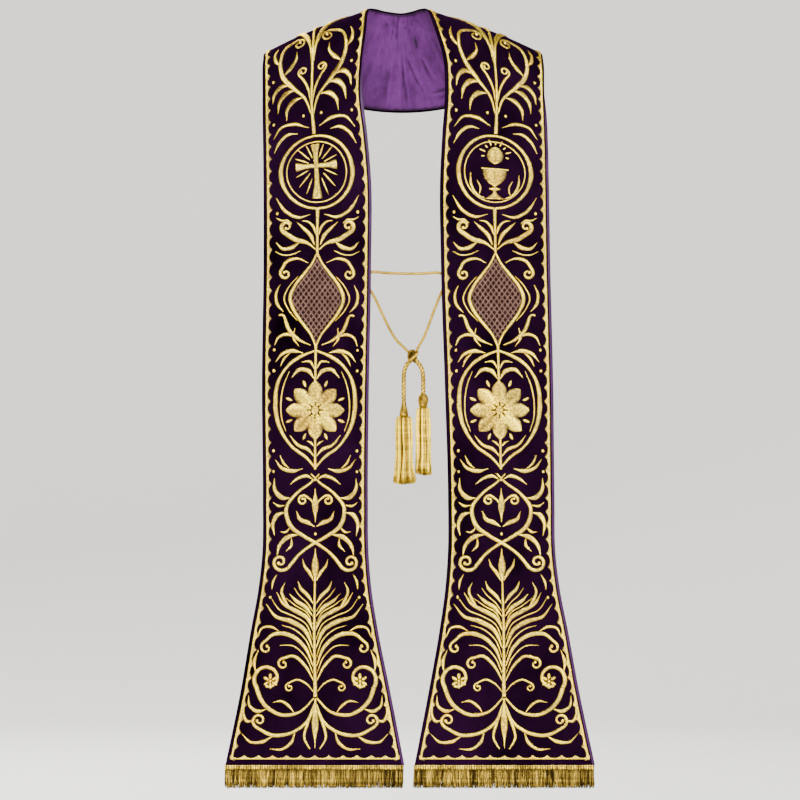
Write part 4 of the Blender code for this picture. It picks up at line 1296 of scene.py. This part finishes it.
flareMotif = {
    "stem": stroke(((0, 808), (0, 850), (0, 968)), (4.0, 4.8, 6.6), mirrored=False),
    "outerFrond": stroke(((34, 846), (43, 832), (47, 820), (42, 808)), (1.4, 5.8, 4.8, 0.8)),
    "topVein": stroke(((2, 849), (11, 836), (22, 826), (29, 816)), (1.0, 2.2, 2.0, 0.8)),
    "middleVein": stroke(((2, 867), (11, 850), (26, 841), (41, 830)), (1.0, 2.2, 2.2, 0.8)),
    "upperVein": stroke(((2, 889), (12, 866), (30, 855), (50, 846), (61, 831)), (1.0, 2.2, 2.6, 2.4, 0.8)),
    "longVein": stroke(((2, 914), (13, 887), (30, 873), (46, 868)), (1.0, 2.4, 2.6, 0.8)),
    "shortVein": stroke(((2, 937), (13, 912), (30, 897), (49, 896)), (1.0, 2.4, 2.6, 0.8)),
    "middleCurl": stroke(((2, 962), (12, 950), (26, 944), (38, 949)), (1.4, 3.8, 3.4, 2.4),
                         curl=(6.5, 2.4, 1.0), bulb=4.2),
    "laurelTop": stroke(((2, 838), (10, 826), (20, 816), (24, 806)), (1.2, 6.4, 6.0, 0.8)),
    "laurelMiddle": stroke(((2, 856), (12, 843), (26, 834), (36, 824)), (1.2, 7.0, 6.4, 0.8)),
    "topLeaf": stroke(((1.5, 876), (10, 858), (26, 848), (44, 838), (54, 822)), (2.0, 6.8, 7.6, 5.4, 0.8)),
    "upperLeaf": stroke(((2, 900), (14, 874), (34, 862), (54, 856), (69, 838)), (2.2, 7.0, 8.0, 5.6, 0.8)),
    "longCurl": stroke(((2, 926), (14, 898), (34, 882), (56, 880), (72, 892)), (2.4, 6.4, 7.4, 5.2, 3.4),
                       curl=(9, 3, 0.85), bulb=5.6),
    "shortCurl": stroke(((2, 946), (14, 924), (30, 911), (45, 914)), (2.4, 5.8, 5.2, 3.2),
                        curl=(8.5, 3.0, 0.95), bulb=5.2),
    "longLobe": stroke(((50, 876), (62, 870), (74, 872), (80, 884)), (1.4, 5.2, 4.2, 0.8)),
    "edgeBud": stroke(((61, 818), (59, 806), (54, 797)), budWidths),
    "edgeBerry": knob((63, 829), 5.0, mirrored=True),
    "sideSpiral": stroke(((2, 970), (22, 989), (48, 993), (73, 977), (84, 952)), (3.4, 6.2, 7.4, 6.2, 4.8),
                         curl=(20, 11, -0.88)),
    "spiralLobe": stroke(((68, 985), (82, 988), (92, 981), (94, 966)), (1.6, 6.6, 5.0, 0.8)),
    "spiralTip": stroke(((84, 934), (85, 918), (79, 902)), (1.6, 6.2, 0.8)),
    "innerLobe": stroke(((30, 990), (38, 980), (48, 974), (60, 976)), (1.4, 5.4, 4.4, 0.8)),
    "cornerCurl": stroke(((1.5, 978), (14, 1005), (36, 1019), (62, 1021), (82, 1011)),
                         (2.4, 5.8, 6.4, 5.4, 3.8), curl=(11, 3.4, -1.15), bulb=5.6),
    "cornerLeaf": stroke(((58, 1022), (75, 1031), (91, 1031), (103, 1020)), (1.6, 6.2, 5.0, 0.8)),
    "lowLeaf": stroke(((28, 1017), (33, 1031), (46, 1041), (64, 1041)), (1.6, 6.0, 4.8, 0.8)),
    "drop": stroke(((0, 970), (0, 1002), (0, 1040)), (3.4, 11.0, 0.8), mirrored=False),
    "dropSide": stroke(((1.5, 984), (11, 1006), (15, 1026), (7, 1041)), (1.8, 5.6, 4.8, 2.6)),
    "edgeLeaf": stroke(((84, 1000), (96, 1002), (101, 992), (99, 978)), (1.4, 5.4, 4.2, 0.8)),
    "rosetteHeart": knob((63, 946), 5.0, 0.8, mirrored=True),
}
flareMotif |= petals("rosette", (63, 946), 6, 2.6, 11.0, (2.4, 5.0, 6.2, 5.4, 2.0), mirrored=True)
emblems = {"left": crossMotif, "right": chaliceMotif}


# The motifs of one half, from the shoulder to the hem.
def panelMotifs(label):
    return (shoulderMotif, roundelMotif, emblems[label], stemMotif, lozengeMotif, blossomMotif, knotMotif,
            flareMotif)


# Each row of the section holds the place across the run, from -1 to 1, the height and the brightness, which
# is a painted highlight on the top and painted shade at the sides, lighter on one side than the other. Runs
# wider than grooveFrom are worked in two columns, with a groove down the middle that has painted shade.
# leaning is how much painted light brightens the run where its threads lie towards the light.
stitching = {
    "step": 1.8, "chartShift": 0.9, "sink": 0.35, "heightShare": 0.40, "mostHeight": 2.0, "bulbHeight": 0.4,
    "section": ((-1.0, 0.0, 0.0), (-1.0, 0.18, 0.04), (-0.84, 0.56, 0.26), (-0.46, 0.90, 0.72),
                (0.0, 1.0, 1.08), (0.46, 0.90, 0.84), (0.84, 0.56, 0.34), (1.0, 0.18, 0.05), (1.0, 0.0, 0.0)),
    "grooveFrom": 5.6, "grooveTo": 9.0, "grooveDepth": 0.26, "grooveShade": 0.52, "leaning": 0.20,
}


# A line through the points with a curl at its end, whose radius shrinks in equal ratios as it turns.
def curledLine(points, curl, step):
    line = smoothLine(points, max(int(runLength(np.array(points, float))[-1] / step), 8))
    if curl is None:
        return line
    start, end, turns = curl
    heading = math.atan2(line[-1, 1] - line[-2, 1], line[-1, 0] - line[-2, 0])
    sweep = 2 * np.pi * abs(turns)
    turned = np.linspace(0, sweep, int(sweep * (start + end) / 2 / step) + 8)
    radius = start * (end / start) ** (turned / sweep)
    angle = heading + np.sign(turns) * turned
    steps = radius[:, None] * np.column_stack([np.cos(angle), np.sin(angle)]) * turned[1]
    return np.vstack([line, line[-1] + np.cumsum((steps[1:] + steps[:-1]) / 2, axis=0)])


# Smooth steps between evenly spaced widths along a line.
def widthsAlong(line, widths):
    widths = np.array(widths, float)
    t = runLength(line)
    t = t / t[-1] * (len(widths) - 1)
    i = np.clip(t.astype(int), 0, len(widths) - 2)
    f = t - i
    f = f * f * (3 - 2 * f)
    return widths[i] * (1 - f) + widths[i + 1] * f


# A padded run on the velvet: the section, from edge to edge over the top, is set square to the line at each
# point. left and right are its reach on each side, and its foot is sunk into the pile.
def paddedRun(label, line, left, right, height, raised, use):
    way = unit(np.gradient(line, axis=0))
    square = np.column_stack([-way[:, 1], way[:, 0]])
    place, top, paintedLightAndShade = np.array(use["section"]).T
    reach = np.where(place < 0, left[:, None], right[:, None]) * place
    chart = line[:, None] + square[:, None] * reach[..., None]
    groove = np.clip((left + right - use["grooveFrom"]) / (use["grooveTo"] - use["grooveFrom"]), 0, 1)
    groove = groove[:, None] * (place == 0)
    lift = np.where(top > 0, height[:, None] * (top - use["grooveDepth"] * groove) + raised, -use["sink"])
    points = onChart(label, chart[..., 0], chart[..., 1], lift)
    # Painted light: brighter where the threads lie towards the light; the section's brightness and the groove add
    # painted highlight and shade.
    leaning = use["leaning"] * 2 * way[:, :1] * way[:, 1:]
    uv = together(runLength(line)[:, None] * mm, reach * mm)
    return points, uv, paintedLightAndShade * (1 + leaning) - use["grooveShade"] * groove


# Gathers padded runs into one closed mesh.
def joinRuns(name, runs):
    points, uv, rise = (np.concatenate(parts) for parts in zip(*runs))
    faces = tubeFaces([len(run[0]) for run in runs], points.shape[1])
    return meshObject(name, points, *faces, uv=uv, rise=rise)


# A motif's runs, where a mirrored one is worked again from its end on the other side of the axis.
def strokeRuns(label, motif, use):
    runs = []
    for own in motif.values():
        worked = curledLine(own["points"], own["curl"], use["step"])
        wide = widthsAlong(worked, own["widths"])
        for flip in (1, -1) if own["mirrored"] else (1,):
            line = (worked * (flip, 1))[::flip] + (use["chartShift"], 0)
            width = wide[::flip]
            height = np.minimum(width * use["heightShare"], use["mostHeight"])
            runs.append(paddedRun(label, line, width / 2, width / 2, height, own["raised"], use))
            if own["bulb"]:
                ball = knob(line[-1] if flip > 0 else line[0], own["bulb"])
                around, half = np.array(ball["points"]), np.array(ball["widths"]) / 2
                height = 2 * half * use["bulbHeight"]
                runs.append(paddedRun(label, around, half, half, height, ball["raised"], use))
    return runs


# The border: a line of padded gold whose inner side is cut into hollow scallops that meet in points.
border = {
    "width": 3.9, "hemWidth": 2.7, "point": 4.6, "scallop": 19.3, "hollow": 2.3, "height": 1.3, "step": 1.1,
    "leftMargin": 5.0, "rightMargin": 3.4, "hemMargin": 8.0, "hemPoints": 200,
}


# The inner side's reach past the line, which grows quickly with the distance from a scallop's middle. A whole
# number of scallops is fitted to the run.
def scallops(run, use):
    run = run - run[0]
    size = run[-1] / round(run[-1] / use["scallop"])
    return use["point"] * np.abs(2 * ((run / size) % 1) - 1) ** use["hollow"]


# The three runs of border on one half, on the chart: two sides and the hem. Each line is the border's outer
# edge moved in by half its width.
def borderRuns(label, use, stitch):
    hem = hemPlace - crestPlace - use["hemMargin"]
    a = np.arange(1.0 - crestPlace, hem + 0.1, use["step"])
    half, reach = widthAt(a + crestPlace) / 2, use["width"] / 2
    cut, plain = reach + scallops(a, use), np.full_like(a, reach)
    runs = [(np.column_stack([reach + use["leftMargin"] - half, a]), cut, plain),
            (np.column_stack([half - use["rightMargin"] - reach, a]), plain, cut)]
    low, reach = hem - use["hemWidth"] / 2, use["hemWidth"] / 2
    end = widthAt(low + crestPlace) / 2
    b = np.linspace(use["leftMargin"] - end, end - use["rightMargin"], use["hemPoints"])
    cut, plain = reach + scallops(b, use), np.full_like(b, reach)
    runs.append((np.column_stack([b, np.full_like(b, low)]), cut, plain))
    return [paddedRun(label, line, left, right, np.full(len(line), use["height"]), 0.0, stitch)
            for line, left, right in runs]


# The lozenge's cloth of mauve and gold, and the net of thread laid over it, cut off at the outline.
def lozengePieces(label, use, stitch):
    reach, down = smoothLine(use["outline"], 90).T
    top, bottom = down[0], down[-1]
    a = np.linspace(top + 2, bottom - 2, 64)
    half = np.interp(a, down, reach) - use["clothInset"]
    line = np.column_stack([np.full_like(a, stitch["chartShift"]), a])
    ground = paddedRun(label, line, half, half, np.full_like(a, use["clothHeight"]), 0.0, stitch)
    runs = []
    t = np.linspace(-60, 60, 241)
    for slope in (use["netSlope"], -use["netSlope"]):
        for start in np.arange(top - 50, bottom + 50, use["netSpacing"] * use["netSlope"]):
            inside = np.abs(t) < np.interp(start + slope * t, down, reach, left=0, right=0) - 0.5
            if inside.sum() > 6:
                line = np.column_stack([t + stitch["chartShift"], start + slope * t])[inside][::3]
                half = np.full(len(line), use["netWidth"] / 2)
                height = np.full(len(line), use["netHeight"])
                runs.append(paddedRun(label, line, half, half, height, use["netRaised"], stitch))
    return joinRuns("lozengeCloth" + label, [ground]), joinRuns("lozengeNet" + label, runs)


for label in sides:
    runs = [run for motif in panelMotifs(label) for run in strokeRuns(label, motif, stitching)]
    finishPiece(joinRuns("embroidery" + label, runs), "goldStitch", "gold_thread")
    edging = borderRuns(label, border, stitching)
    finishPiece(joinRuns("border" + label, edging), "goldStitch", "gold_thread")
    ground, net = lozengePieces(label, lozenge, stitching)
    finishPiece(ground, "mauveCloth", "satin")
    finishPiece(net, "goldNet", "gold_thread")
print("embroidery made")


# The studio: a pale bowl, flat under the stole and turned up far behind and around it, and soft lamps.
studio = {
    "color": (0.86, 0.845, 0.81), "shade": 0.985, "drift": (0.6, 2.0, 0.5), "floor": -1.42, "flatRadius": 5.5,
    "wallRadius": 9.0, "wallHeight": 7.5, "steps": 96, "sky": (0.95, 0.96, 1.0), "skyStrength": 0.74,
    "aim": (0.0, 0.0, -0.5),
    "lamps": {
        "key": {"place": (-0.4, -4.7, 1.7), "size": 1.6, "watts": 740.0},
        "fill": {"place": (2.9, -4.0, 0.3), "size": 2.6, "watts": 300.0},
        "back": {"place": (-1.5, 4.5, 2.2), "size": 3.0, "watts": 400.0},
    },
}


# The bowl's profile is a flat run, a quarter of an ellipse and a rim, turned round the upright axis.
def studioBowl(use):
    bend = np.linspace(0, np.pi / 2, 24)
    reach = use["wallRadius"] - use["flatRadius"]
    radius = np.concatenate([[0.001, 2.0, 4.0], use["flatRadius"] + reach * np.sin(bend)])[:, None]
    height = np.concatenate([[0.0, 0.0, 0.0], use["wallHeight"] * (1 - np.cos(bend))])[:, None] + use["floor"]
    turn = fullTurn(use["steps"])
    numbers = gridNumbers(len(radius), use["steps"])
    bowl = meshObject("studioBowl", together(radius * np.cos(turn), radius * np.sin(turn), height),
                      gridFaces(numbers, closed=True)[:, ::-1], numbers[:1])
    made, tree, shader, place = newMaterial("studioPaint", roughness=0.95, specular=0.1)
    tone = addNoise(tree, place, *use["drift"])
    color = np.array(use["color"])
    joinShader(tree, shader, addRamp(tree, tone, [(0.3, tuple(color * use["shade"])), (0.7, tuple(color))]))
    bowl.data.materials.append(made)
    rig.stage(bowl)


# An even sky, and round lamps turned from their places towards the aim: pitch is the angle from straight down
# and heading the one round the upright axis.
def studioLamps(use):
    world = bpy.data.worlds.new("studioSky")
    bpy.context.scene.world = world
    world.use_nodes = True
    sky = world.node_tree.nodes["Background"]
    sky.inputs["Color"].default_value = (*use["sky"], 1.0)
    sky.inputs["Strength"].default_value = use["skyStrength"]
    for name, lamp in use["lamps"].items():
        data = bpy.data.lights.new(name, "AREA")
        data.shape = "DISK"
        data.size = lamp["size"]
        data.energy = lamp["watts"]
        made = bpy.data.objects.new(name, data)
        bpy.context.collection.objects.link(made)
        place = np.array(lamp["place"])
        made.location = place
        aim = unit(np.array(use["aim"]) - place)
        pitch, heading = math.acos(-aim[2]), math.atan2(-aim[0], aim[1])
        made.rotation_euler = (pitch, 0.0, heading)


studioBowl(studio)
studioLamps(studio)
print("studio made")

json.dump({"cad": np.array(cadBounds).tolist(), "visual": np.array(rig.bounds()).tolist()},
          open("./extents.json", "w"))
